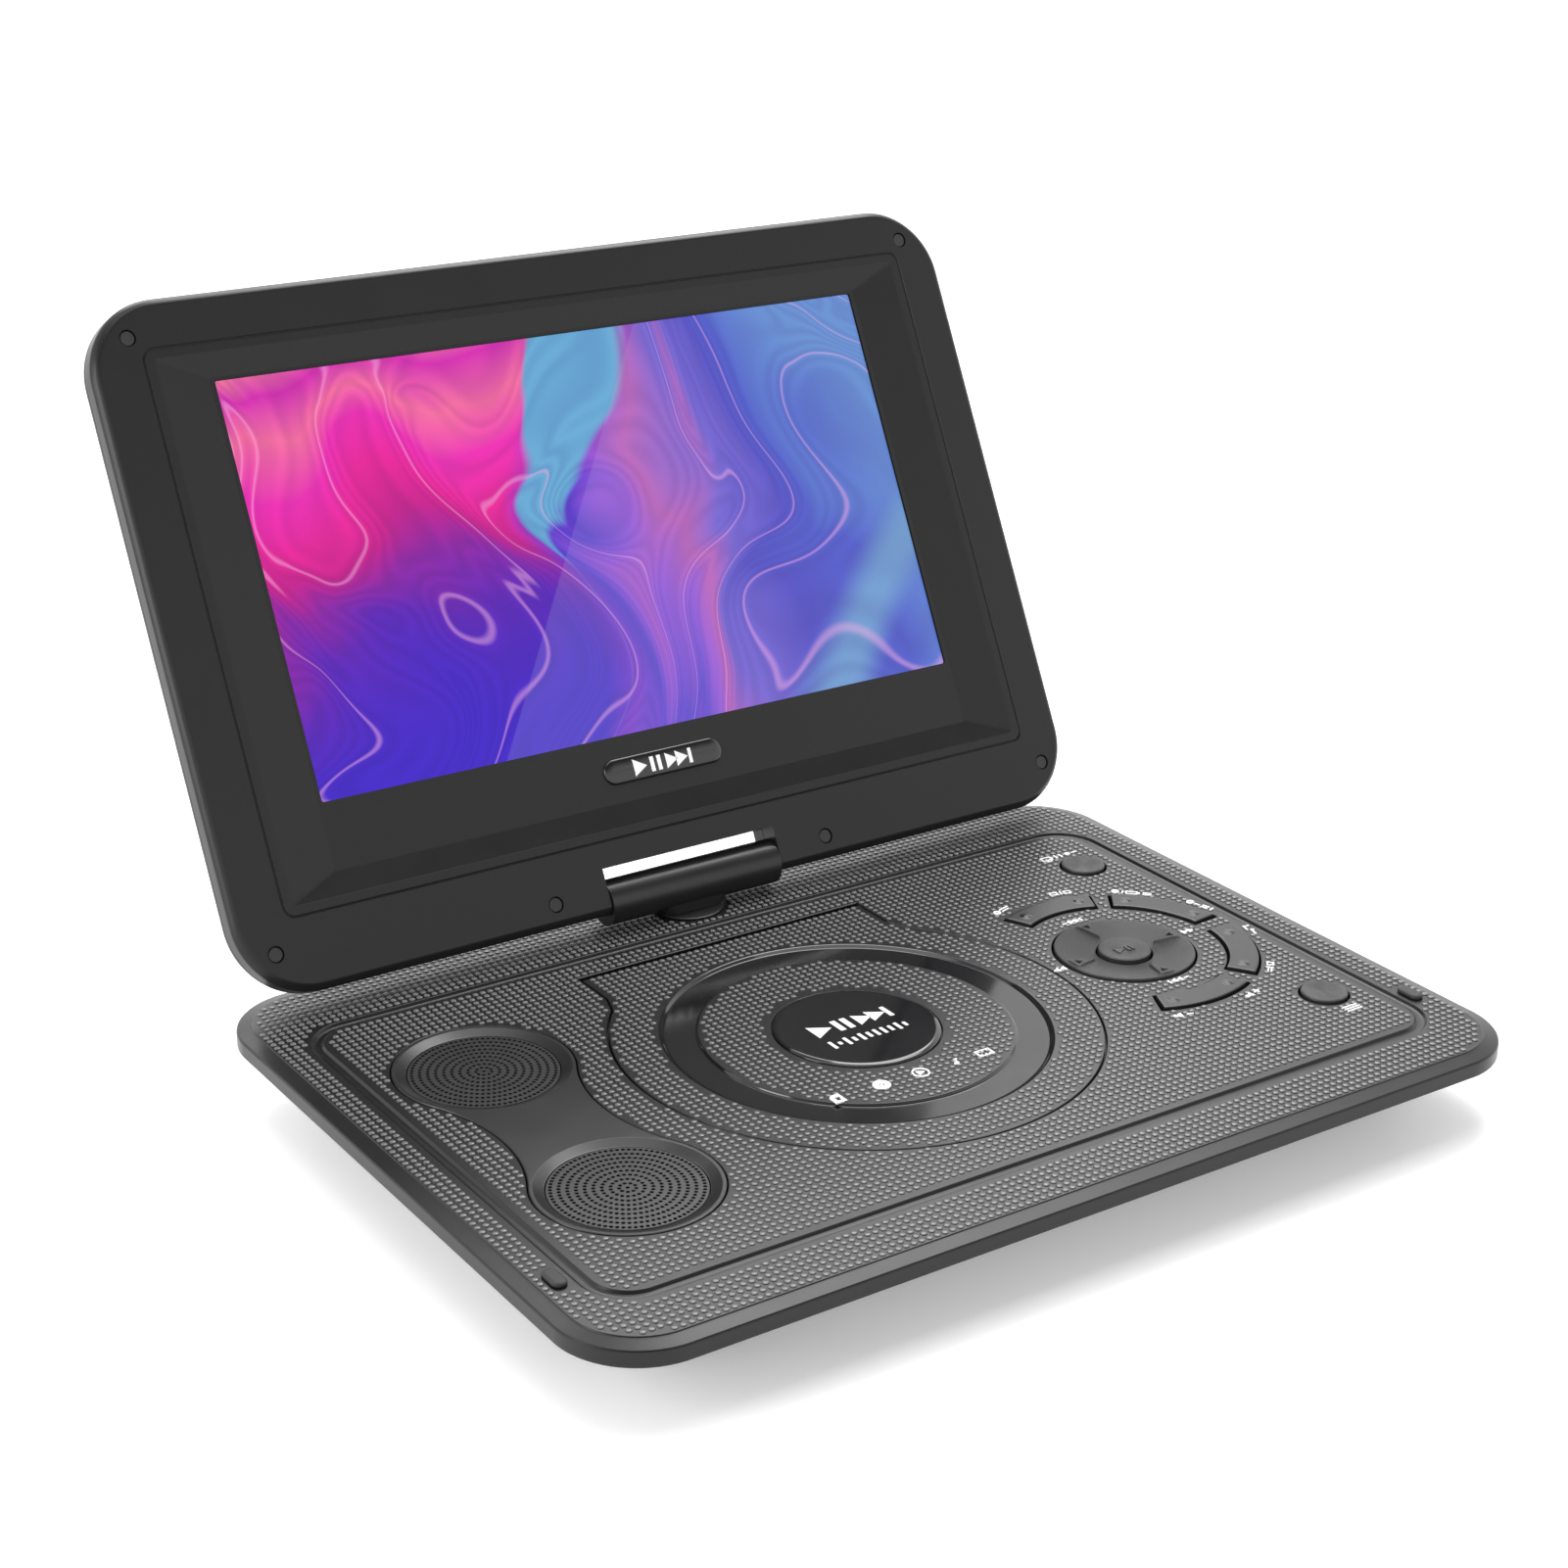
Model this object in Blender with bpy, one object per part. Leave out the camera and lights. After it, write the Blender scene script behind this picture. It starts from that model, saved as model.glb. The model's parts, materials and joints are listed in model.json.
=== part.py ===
"""Portable disc player with a swivelling lid: one named solid for each sub-part.

Metres, +Z up, +X to the right of someone facing the deck, -Y towards them.  The player stands
open on its four feet.  Every plan place is first written in the bench frame, whose X = 0 is the
centre line and whose Y = 0 is the front edge of the flat deck.  The empty named assembly moves
the bench frame so that the origin is the bottom centre of the open player's bounding box.
"""
import math

import bpy

MM = 0.001

# ---- driving dimensions: base ----
SCREEN_WIDTH = 234 * MM
SCREEN_MARGIN = 38 * MM        # picture's side to the lid's side
DECK_WIDTH = SCREEN_WIDTH + 2 * SCREEN_MARGIN   # flat textured top, side to side
DECK_DEPTH = 219 * MM          # flat textured top, front to back
DECK_CORNER = 20 * MM
DECK_Z = 25 * MM               # height of the deck above the table
RIM_WIDTH = 4.8 * MM           # sloped band around the deck
RIM_DROP = 1.2 * MM
RIM_SIDE = 5 * MM              # upright side below the band
TOP_WALL = 2 * MM
TUB_INSET = 22 * MM            # how far the flat underside lies inside the deck's edge
TUB_CORNER = 16 * MM           # round corners of the flat underside
TUB_WALL = 2 * MM
FOOT_HEIGHT = 1.5 * MM
FOOT_RADIUS = 8 * MM
FOOT_EDGE = 14 * MM            # foot centre to the edge of the flat underside
SEAM_GAP = 0.3 * MM            # between pieces that touch
KEY_GAP = 0.6 * MM             # around keys and buttons

# ---- groove that frames the deck ----
GROOVE_SIDE = 11.1 * MM
GROOVE_FRONT = 18.5 * MM
GROOVE_REAR = 26 * MM
GROOVE_CORNER = 13 * MM
GROOVE_HALF = 2 * MM
GROOVE_DEPTH = 1 * MM

# ---- disc, its door and its drive ----
DISC_R = 60 * MM
RECESS_R = DISC_R + 2 * MM
DOOR_R = RECESS_R + 11.1 * MM
DOOR_X = -5 * MM
DOOR_Y = 108.9 * MM
DOOR_GAP = 0.45 * MM
DOOR_THICK = 2 * MM
TAB_HALF = 0.707 * DOOR_R      # rear tab of the door
TAB_REACH = DOOR_R - 1.8 * MM  # door centre to the tab's rear edge
TAB_CLEAR = 2 * MM             # swing gap behind the tab
DOOR_AXIS_IN = 2.7 * MM        # hinge line in front of the tab's rear edge
DOOR_AXIS_DOWN = 2.6 * MM      # and below the deck
LUG_R = 2.0 * MM
LUG_WIDTH = 6 * MM
DOOR_PIN_R = 1.0 * MM
BAND_INNER = 47 * MM / (60 * MM) * DISC_R
BAND_OUTER = 57.4 * MM / (60 * MM) * DISC_R
BAND_DEPTH = 0.8 * MM
BAND_SLOPE = 0.8 * MM
EMBLEM_R = 25 * MM
WELL_LEDGE = 1.2 * MM          # strip of the tray that the door's edge rests on
WELL_DEPTH = 9.5 * MM          # deck to the well's floor
WELL_SHELF = 4.6 * MM          # deck to the shelf around the disc recess
WELL_WALL = 1.8 * MM
HUB_R = 14 * MM
HUB_BOSS_R = 7.3 * MM
SPINDLE_R = 1.2 * MM
MOTOR_R = 12 * MM
SLED_HALF = 11 * MM
SLED_LENGTH = 24 * MM
SLED_LENS = 12 * MM             # sled's rear end to the middle of its lens tower
LENS_R = 3 * MM
ROD_R = 1.5 * MM
ROD_SPREAD = 17 * MM
SCREW_R = 1.6 * MM
SCREW_SPREAD = 24 * MM
CHASSIS_HALF = SCREW_SPREAD + 6 * MM
CHASSIS_THICK = 1.2 * MM

# ---- speakers ----
SPEAKER_EDGE = 45.5 * MM       # deck's left edge to the speakers' line
SPEAKER_FRONT_Y = 67.2 * MM
SPEAKER_PITCH = 78.9 * MM
TRIM_R = 26.4 * MM
TRIM_WAIST = 16.3 * MM
TRIM_PROUD = 0.2 * MM
GRILLE_R = 21.9 * MM
GRILLE_HOLES = 12
GRILLE_SUNK = 1 * MM            # grille's face below the deck
SEAT_SLOPE = 2.6 * MM           # width of the dished seat around a grille
DRIVER_R = 20 * MM
MAGNET_R = 11 * MM

# ---- buffers on the deck for the closed lid ----
BUFFER_EDGE = 5.2 * MM
BUFFER_Y = 36.3 * MM
BUFFER_HEIGHT = 1.4 * MM
BUFFER_HALF_X = 2.2 * MM
BUFFER_HALF_Y = 4.4 * MM

# ---- keys ----
PAD_EDGE = 58.3 * MM           # deck's right edge to the direction pad's centre
PAD_Y = 107.2 * MM
PAD_R = 22.1 * MM
OK_R = 8.3 * MM
PAD_PROUD = 0.8 * MM
ARC_GAP = 10.5 * MM            # direction pad to the arc keys
ARC_WIDTH = 9.2 * MM
KEY_BEVEL = 0.5 * MM
BEVEL_TURN = 0.5                # degrees that the bevel takes off an arc key's ends
ARC_IN = PAD_R + ARC_GAP
ARC_OUT = ARC_IN + ARC_WIDTH
ARC_KEYS = (("arc_key_rear", 66, 114), ("arc_key_upper", 6, 56),
            ("arc_key_lower", -56, -6), ("arc_key_front", -114, -66))
BUTTON_EDGE = 26.8 * MM        # deck's right edge to the two round buttons
BUTTON_R = 7.2 * MM
BUTTON_Y = {"menu_button": 51 * MM, "screen_button": 165.4 * MM}
BUTTON_PROUD = 1.0 * MM
KEY_DEPTH = 6 * MM             # keys' undersides below the deck
BOARD_THICK = 1.6 * MM

# ---- sockets and power switch on the right side ----
SOCKETS = (                     # name, place along the side, opening half width and half height
    ("card_slot", 62 * MM, 12.6 * MM, 1.3 * MM),
    ("usb_port", 90 * MM, 6.6 * MM, 2.9 * MM),
    ("av_jack", 108 * MM, 2.6 * MM, 2.6 * MM),
    ("headphone_jack", 121 * MM, 2.6 * MM, 2.6 * MM),
    ("power_jack", 136 * MM, 3.4 * MM, 3.4 * MM),
)
SOCKET_Z = 10.4 * MM
SOCKET_DEPTH = 10 * MM
SOCKET_WALL = 0.5 * MM
SWITCH_Y = 155 * MM
SWITCH_HALF = 7.5 * MM
KNOB_HALF = 3.2 * MM
KNOB_HIGH = 1.2 * MM            # half height of the power switch's knob
PORT_FRONT = 44 * MM
PORT_REAR = 168 * MM
PORT_WALL = 2 * MM

# ---- hinge and swivel ----
PIVOT_REAR = 9.4 * MM          # deck's rear edge to the swivel's centre
POST_R = 8.4 * MM
PUCK_R = 11.5 * MM
PUCK_THICK = 0.4 * MM
CABLE_BORE = 3.5 * MM           # way for the lid's ribbon cable through the turntable
BARREL_R = 7.3 * MM
BARREL_HALF = 31.7 * MM
PIN_R = 2 * MM
PIN_HALF = 38 * MM
PIN_CLEAR = 0.3 * MM
LID_GAP = 1.9 * MM             # deck to the closed lid's face

# ---- lid ----
LID_TILT = math.radians(27.8)  # how far the open lid leans back
LID_HALF = DECK_WIDTH / 2
LID_BELOW = 4 * MM             # lid's lower edge below the hinge line
SCREEN_HEIGHT = 131 * MM
SCREEN_LOW = 50.4 * MM         # hinge line to the picture's lower edge
SCREEN_TOP = 27.1 * MM         # picture's upper edge to the lid's upper edge
LID_ABOVE = SCREEN_LOW + SCREEN_HEIGHT + SCREEN_TOP
LID_CORNER = 24 * MM
BEZEL_THICK = 7 * MM
COVER_THICK = 5.7 * MM
LID_THICK = BEZEL_THICK + SEAM_GAP + COVER_THICK
AXIS_DEPTH = LID_THICK / 2     # hinge line behind the bezel's face
SHELL_WALL = 2.2 * MM
WINDOW_SIDE = 1.3 * MM         # recessed window beyond the picture
WINDOW_TOP = 1 * MM
WINDOW_LOW = 21 * MM
WINDOW_DEPTH = 2.6 * MM
SLOPE_SIDE = 17 * MM
SLOPE_END = 7.5 * MM
FRAME_LINE = 2.6 * MM          # slope's edge to the fine line around it
LINE_WIDTH = 0.8 * MM
NOTCH_HALF = BARREL_HALF + 0.5 * MM
NOTCH_TOP = BARREL_R + 3.4 * MM
CAP_R = 2.3 * MM
BADGE_WIDTH = 44 * MM
BADGE_HEIGHT = 8.3 * MM

# ---- worked-out places ----
HALF_X = DECK_WIDTH / 2
MID_Y = DECK_DEPTH / 2
PIVOT_Y = DECK_DEPTH - PIVOT_REAR
AXIS_Z = DECK_Z + AXIS_DEPTH + LID_GAP
UNDER_Z = DECK_Z - TOP_WALL
RIM_LOW = DECK_Z - RIM_DROP - RIM_SIDE
TUB_Z = FOOT_HEIGHT + SEAM_GAP
FLOOR_Z = DECK_Z - WELL_DEPTH
SPEAKER_X = -HALF_X + SPEAKER_EDGE
PAD_X = HALF_X - PAD_EDGE
BUTTON_X = HALF_X - BUTTON_EDGE
PORT_X = HALF_X - 1 * MM       # outer face of the socket wall
BOTTOM_CLEAR = TUB_Z + TUB_WALL + SEAM_GAP

for old in list(bpy.data.objects):
    bpy.data.objects.remove(old, do_unlink=True)


# ---- materials ----
def finish(name, colour, roughness, metallic=0.0):
    """A Principled material for one kind of piece."""
    made = bpy.data.materials.new(name)
    made.use_nodes = True
    shader = made.node_tree.nodes["Principled BSDF"]
    shader.inputs["Base Color"].default_value = (*colour, 1)
    shader.inputs["Roughness"].default_value = roughness
    shader.inputs["Metallic"].default_value = metallic
    return made


SHELL = finish("charcoal_shell", (0.045, 0.045, 0.048), 0.45)
GLOSS = finish("black_gloss", (0.01, 0.01, 0.011), 0.12)
KEYS = finish("satin_key", (0.09, 0.09, 0.095), 0.35)
STEEL = finish("bright_steel", (0.75, 0.76, 0.78), 0.2, 1.0)
RUBBER = finish("soft_rubber", (0.02, 0.02, 0.02), 0.85)
BOARD = finish("green_board", (0.02, 0.16, 0.07), 0.5)
SCREEN = finish("screen_glass", (0.35, 0.05, 0.5), 0.1)
CELL = finish("blue_wrap", (0.03, 0.12, 0.4), 0.4)
MOULD = finish("black_moulding", (0.025, 0.025, 0.027), 0.55)
CONE = finish("paper_cone", (0.03, 0.03, 0.03), 0.9)
LENS = finish("lens_glass", (0.35, 0.45, 0.6), 0.05)


# ---- outlines: closed lists of (x, y), anticlockwise ----
def rounded(half_x, half_y, radius, x=0.0, y=0.0, steps=7):
    """A rectangle with round corners about (x, y)."""
    points = []
    for corner, (sx, sy) in enumerate(((1, 1), (-1, 1), (-1, -1), (1, -1))):
        for k in range(steps + 1):
            turn = math.pi / 2 * (corner + k / steps)
            points.append((x + sx * (half_x - radius) + radius * math.cos(turn),
                           y + sy * (half_y - radius) + radius * math.sin(turn)))
    return points


def circle(radius, x=0.0, y=0.0, sides=32):
    """A circle about (x, y)."""
    turns = [math.tau * k / sides for k in range(sides)]
    return [(x + radius * math.cos(t), y + radius * math.sin(t)) for t in turns]


def sector(inner, outer, low, high, x, y, steps=10):
    """A ring sector between two angles in degrees."""
    turns = [math.radians(low + (high - low) * k / steps) for k in range(steps + 1)]
    far = [(x + outer * math.cos(t), y + outer * math.sin(t)) for t in turns]
    near = [(x + inner * math.cos(t), y + inner * math.sin(t)) for t in reversed(turns)]
    return far + near


def deck_outline(outset):
    """The deck's outline, moved outwards by outset."""
    return rounded(HALF_X + outset, MID_Y + outset, DECK_CORNER + outset, 0, MID_Y)


def floor_outline(inset):
    """The tub's flat underside, moved inwards by inset."""
    inset_all = TUB_INSET + inset
    return rounded(HALF_X - inset_all, MID_Y - inset_all, TUB_CORNER - inset, 0, MID_Y)


def groove_outline(outset):
    """The framing groove's centre line, moved outwards by outset."""
    half_y = (DECK_DEPTH - GROOVE_FRONT - GROOVE_REAR) / 2
    return rounded(HALF_X - GROOVE_SIDE + outset, half_y + outset, GROOVE_CORNER + outset,
                   0, GROOVE_FRONT + half_y)


def door_outline(outset, rear=0.0, steps=48):
    """The round door with its square rear tab, moved outwards by outset, the tab's edge by rear."""
    radius = DOOR_R + outset
    half = TAB_HALF + outset
    edge = TAB_REACH + rear
    start = math.pi - math.acos(half / radius) + math.radians(3)
    sweep = math.pi * 3 - 2 * start
    arc = [start + sweep * k / steps for k in range(steps + 1)]
    points = [(DOOR_X + radius * math.cos(t), DOOR_Y + radius * math.sin(t)) for t in arc]
    shoulder = 0.77 * DOOR_R
    points.append((DOOR_X + half, DOOR_Y + shoulder))
    points.append((DOOR_X + half, DOOR_Y + edge))
    points.append((DOOR_X - half, DOOR_Y + edge))
    points.append((DOOR_X - half, DOOR_Y + shoulder))
    return points


def trim_outline(outset, steps=12):
    """Two circles joined by a waist of two hollow arcs: the speaker trim."""
    half = SPEAKER_PITCH / 2
    mid = SPEAKER_FRONT_Y + half
    hollow = (TRIM_WAIST ** 2 + half ** 2 - TRIM_R ** 2) / (2 * (TRIM_R - TRIM_WAIST))
    lean = math.atan2(half, TRIM_WAIST + hollow)
    points = []
    for k in range(steps + 1):
        t = -lean + (math.pi + 2 * lean) * k / steps
        points.append((SPEAKER_X + (TRIM_R + outset) * math.cos(t),
                       mid + half + (TRIM_R + outset) * math.sin(t)))
    inner = steps // 2
    for k in range(1, inner):
        t = lean - 2 * lean * k / inner
        points.append((SPEAKER_X - TRIM_WAIST - hollow + (hollow - outset) * math.cos(t),
                       mid + (hollow - outset) * math.sin(t)))
    for k in range(steps + 1):
        t = math.pi - lean + (math.pi + 2 * lean) * k / steps
        points.append((SPEAKER_X + (TRIM_R + outset) * math.cos(t),
                       mid - half + (TRIM_R + outset) * math.sin(t)))
    for k in range(1, inner):
        t = math.pi + lean - 2 * lean * k / inner
        points.append((SPEAKER_X + TRIM_WAIST + hollow + (hollow - outset) * math.cos(t),
                       mid + (hollow - outset) * math.sin(t)))
    return points


# ---- solids ----
def level(outline, z):
    """An outline at one height."""
    return [(x, y, z) for x, y in outline]


def loft(name, loops, material):
    """A closed solid whose skin runs through loops of equal length, with both ends capped."""
    count = len(loops[0])
    points = [p for loop in loops for p in loop]
    faces = []
    for row in range(len(loops) - 1):
        for k in range(count):
            a = row * count + k
            b = row * count + (k + 1) % count
            faces.append((a, b, b + count, a + count))
    faces.append(tuple(range(count))[::-1])
    faces.append(tuple(range(len(points) - count, len(points))))
    return solid(name, points, faces, material)


def solid(name, points, faces, material):
    """A mesh object from points and faces."""
    mesh = bpy.data.meshes.new(name)
    mesh.from_pydata(points, [], faces)
    mesh.update()
    made = bpy.data.objects.new(name, mesh)
    bpy.context.collection.objects.link(made)
    if material is not None:
        mesh.materials.append(material)
    mesh.shade_smooth()
    mesh.set_sharp_from_angle(angle=math.radians(30))
    return made


def prism(name, outline, low, high, material=None):
    """An outline carried straight up from low to high."""
    return loft(name, [level(outline, low), level(outline, high)], material)


def punch(name, outlines, low, high):
    """One cutter of several separate prisms, such as a grille's holes."""
    points = []
    faces = []
    for outline in outlines:
        first = len(points)
        count = len(outline)
        points += level(outline, low) + level(outline, high)
        faces.append(tuple(first + k for k in reversed(range(count))))
        faces.append(tuple(first + count + k for k in range(count)))
        for k in range(count):
            n = (k + 1) % count
            faces.append((first + k, first + n, first + count + n, first + count + k))
    return solid(name, points, faces, None)


def turned(name, profile, material=None, sides=32):
    """A profile of (radius, z) turned about Z.  It runs up the outside and, if it starts and
    ends on the axis, is closed there; otherwise its last point joins its first."""
    on_axis = profile[0][0] == 0
    rows = profile[1:-1] if on_axis else profile
    points = [(*p, z) for r, z in rows for p in circle(r, sides=sides)]
    count = len(rows)
    faces = []
    for row in range(count - 1 if on_axis else count):
        for k in range(sides):
            a = row * sides
            b = (row + 1) % count * sides
            n = (k + 1) % sides
            faces.append((a + k, a + n, b + n, b + k))
    if on_axis:
        faces.append(tuple(range(sides))[::-1])
        faces.append(tuple(range((count - 1) * sides, count * sides)))
    return solid(name, points, faces, material)


def box(name, low, high, material=None):
    """A box between two corners."""
    outline = [(low[0], low[1]), (high[0], low[1]), (high[0], high[1]), (low[0], high[1])]
    return prism(name, outline, low[2], high[2], material)


def rod(name, radius, length, material=None, axis="X", sides=16, bore=0.0):
    """A round bar along X or Y, centred on its object's origin."""
    if bore:
        profile = [(radius, -length / 2), (radius, length / 2), (bore, length / 2), (bore, -length / 2)]
    else:
        profile = [(0, -length / 2), (radius, -length / 2), (radius, length / 2), (0, length / 2)]
    made = turned(name, profile, material, sides)
    if axis == "X":
        made.rotation_euler = (0, math.pi / 2, 0)
    if axis == "Y":
        made.rotation_euler = (-math.pi / 2, 0, 0)
    return made


def combine(target, tool, operation):
    """Applies a Boolean of a helper solid to target; the helper stays hidden."""
    step = target.modifiers.new(tool.name, "BOOLEAN")
    step.operation = operation
    step.object = tool
    step.solver = "EXACT"
    tool.hide_render = True
    tool.display_type = "WIRE"
    if tool.parent is None:
        tool.parent = target.parent


def cut(target, *tools):
    """Takes helper solids away from target."""
    for tool in tools:
        combine(target, tool, "DIFFERENCE")


def add(target, *tools):
    """Joins helper solids to target."""
    for tool in tools:
        combine(target, tool, "UNION")


# ---- frames that carry the pieces ----
def empty(name, parent=None, place=(0, 0, 0), turn=(0, 0, 0)):
    """A guide that holds the pieces of one moving group at its joint."""
    made = bpy.data.objects.new(name, None)
    bpy.context.collection.objects.link(made)
    made.hide_render = True
    made.parent = parent
    made.location = place
    made.rotation_euler = turn
    return made


def carry(frame, *pieces):
    """Parents pieces to a frame; their coordinates are then the frame's."""
    for piece in pieces:
        piece.parent = frame
        for step in piece.modifiers:
            step.object.parent = frame


COVER_SECTION = [               # (depth behind the face, inset) of the back cover's outer skin
    (BEZEL_THICK + SEAM_GAP, 0.0),
    (LID_THICK - 3 * MM, 0.8 * MM),
    (LID_THICK - 0.8 * MM, 3.6 * MM),
    (LID_THICK, 8 * MM),
]
LEAN_SIN = math.sin(LID_TILT)
LEAN_COS = math.cos(LID_TILT)
REAR_Y = max(PIVOT_Y + (LID_ABOVE - inset) * LEAN_SIN + (depth - AXIS_DEPTH) * LEAN_COS
             for depth, inset in COVER_SECTION)
BENCH_Y = -(REAR_Y - RIM_WIDTH) / 2

assembly = empty("assembly", place=(0, BENCH_Y, 0))
base_frame = empty("base_frame", assembly)
swivel_frame = empty("swivel_frame", assembly, (0, PIVOT_Y, AXIS_Z))
lid_frame = empty("lid_frame", swivel_frame, turn=(-LID_TILT, 0, 0))
door_axis = (DOOR_X, DOOR_Y + TAB_REACH - DOOR_AXIS_IN, DECK_Z - DOOR_AXIS_DOWN)


# ---- base covers ----
def base_top_cover():
    """Deck, framing groove, sloped rim and upright side, as one moulded shell."""
    inner = RIM_WIDTH - TOP_WALL
    cover = loft("base_top_cover", [
        level(deck_outline(inner), UNDER_Z),
        level(deck_outline(inner), RIM_LOW),
        level(deck_outline(RIM_WIDTH - 0.4 * MM), RIM_LOW),
        level(deck_outline(RIM_WIDTH), RIM_LOW + 0.6 * MM),
        level(deck_outline(RIM_WIDTH), DECK_Z - RIM_DROP),
        level(deck_outline(0), DECK_Z),
        level(groove_outline(GROOVE_HALF), DECK_Z),
        level(groove_outline(GROOVE_HALF / 2), DECK_Z - GROOVE_DEPTH),
        level(groove_outline(-GROOVE_HALF / 2), DECK_Z - GROOVE_DEPTH),
        level(groove_outline(-GROOVE_HALF), DECK_Z),
    ], SHELL)
    through = (UNDER_Z - 1 * MM, DECK_Z + 1 * MM)
    cut(cover,
        prism("door_opening", door_outline(DOOR_GAP, TAB_CLEAR), *through),
        prism("trim_seat", trim_outline(SEAM_GAP), DECK_Z - 1 * MM, through[1]),
        prism("trim_opening", trim_outline(-1.5 * MM), *through),
        prism("post_hole", circle(POST_R + SEAM_GAP, 0, PIVOT_Y), *through),
        prism("pad_hole", circle(PAD_R + KEY_GAP, PAD_X, PAD_Y, 40), *through))
    for name, y in BUTTON_Y.items():
        cut(cover, prism(name + "_hole", circle(BUTTON_R + KEY_GAP, BUTTON_X, y), *through))
    for name, low, high in ARC_KEYS:
        spare = math.degrees(KEY_GAP / ARC_IN)
        hole = sector(ARC_IN - KEY_GAP, ARC_OUT + KEY_GAP, low - spare, high + spare, PAD_X, PAD_Y)
        cut(cover, prism(name + "_hole", hole, *through))
    carry(base_frame, cover)


def base_bottom_cover():
    """Boat-shaped tub with an upright wall on the right for the sockets."""
    seam = RIM_LOW - SEAM_GAP
    rim = RIM_WIDTH - 1.6 * MM
    tub = loft("base_bottom_cover", [
        level(floor_outline(0), TUB_Z),
        level(deck_outline(rim), seam),
        level(deck_outline(rim - TUB_WALL * 1.6), seam),
        level(floor_outline(TUB_WALL * 0.6), TUB_Z + TUB_WALL),
    ], SHELL)
    low = TUB_Z + 1.2 * MM
    inner = HALF_X - TUB_INSET - 8 * MM
    add(tub, box("port_bay", (inner, PORT_FRONT, low), (PORT_X, PORT_REAR, seam - 0.2 * MM)))
    cut(tub, box("port_room", (inner - 1 * MM, PORT_FRONT + PORT_WALL, low + TUB_WALL),
                 (PORT_X - PORT_WALL, PORT_REAR - PORT_WALL, seam + 5 * MM)))
    board_low = DECK_Z - KEY_DEPTH - 1 * MM - BOARD_THICK - KEY_GAP
    cut(tub, box("key_board_room", (0, PORT_FRONT - 6 * MM, board_low),
                 (BUTTON_X + 12 * MM + KEY_GAP, PORT_REAR + 11 * MM, DECK_Z)))
    through = 5 * MM
    for name, y, half_y, half_z in SOCKETS:
        wide = half_y + SEAM_GAP
        high = half_z + SEAM_GAP
        cut(tub, box(name + "_window", (PORT_X - through, y - wide, SOCKET_Z - high),
                     (PORT_X + through, y + wide, SOCKET_Z + high)))
    high = KNOB_HIGH + 0.4 * MM
    cut(tub, box("switch_window", (PORT_X - through, SWITCH_Y - SWITCH_HALF, SOCKET_Z - high),
                 (PORT_X + through, SWITCH_Y + SWITCH_HALF, SOCKET_Z + high)))
    carry(base_frame, tub)


def sockets():
    """Square-bodied sockets set into the side wall, and the power switch's sliding knob."""
    for name, y, half_y, half_z in SOCKETS:
        material = STEEL if name in ("usb_port", "card_slot") else MOULD
        body = box(name, (PORT_X - SOCKET_DEPTH, y - half_y, SOCKET_Z - half_z),
                   (PORT_X - 0.4 * MM, y + half_y, SOCKET_Z + half_z), material)
        if name in ("usb_port", "card_slot"):
            wide = half_y - SOCKET_WALL
            high = half_z - SOCKET_WALL
            cut(body, box(name + "_mouth", (PORT_X - SOCKET_DEPTH + 1 * MM, y - wide, SOCKET_Z - high),
                          (PORT_X + 1 * MM, y + wide, SOCKET_Z + high)))
        else:
            mouth = rod(name + "_mouth", 0.7 * half_y, 2 * SOCKET_DEPTH - 4 * MM, axis="X")
            mouth.location = (PORT_X, y, SOCKET_Z)
            cut(body, mouth)
        carry(base_frame, body)
    knob = box("power_knob", (-3.4 * MM, -KNOB_HALF, -KNOB_HIGH), (0.9 * MM, KNOB_HALF, KNOB_HIGH), KEYS)
    knob.location = (PORT_X, SWITCH_Y - SWITCH_HALF + KNOB_HALF + KEY_GAP, SOCKET_Z)
    carry(base_frame, knob)


def feet_and_pads():
    """Four rubber feet under the tub and two small buffers on the deck for the closed lid."""
    across = HALF_X - TUB_INSET - FOOT_EDGE
    rows = {"front": TUB_INSET + FOOT_EDGE, "rear": DECK_DEPTH - TUB_INSET - FOOT_EDGE}
    for row, y in rows.items():
        for side, x in (("left", -across), ("right", across)):
            foot = turned("foot_%s_%s" % (row, side),
                          [(0, 0), (FOOT_RADIUS - 0.4 * MM, 0), (FOOT_RADIUS, 0.4 * MM),
                           (FOOT_RADIUS, FOOT_HEIGHT), (0, FOOT_HEIGHT)], RUBBER, 24)
            foot.location = (x, y, 0)
            carry(base_frame, foot)
    outer = rounded(BUFFER_HALF_X, BUFFER_HALF_Y, BUFFER_HALF_X - 0.1 * MM, steps=3)
    inner = rounded(BUFFER_HALF_X - 0.6 * MM, BUFFER_HALF_Y - 0.6 * MM, BUFFER_HALF_X - 0.7 * MM, steps=3)
    for side, x in (("left", -HALF_X + BUFFER_EDGE), ("right", HALF_X - BUFFER_EDGE)):
        pad = loft("deck_pad_" + side, [
            level(outer, DECK_Z + SEAM_GAP),
            level(outer, DECK_Z + BUFFER_HEIGHT - 0.5 * MM),
            level(inner, DECK_Z + BUFFER_HEIGHT)], RUBBER)
        pad.location = (x, BUFFER_Y, 0)
        carry(base_frame, pad)


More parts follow.
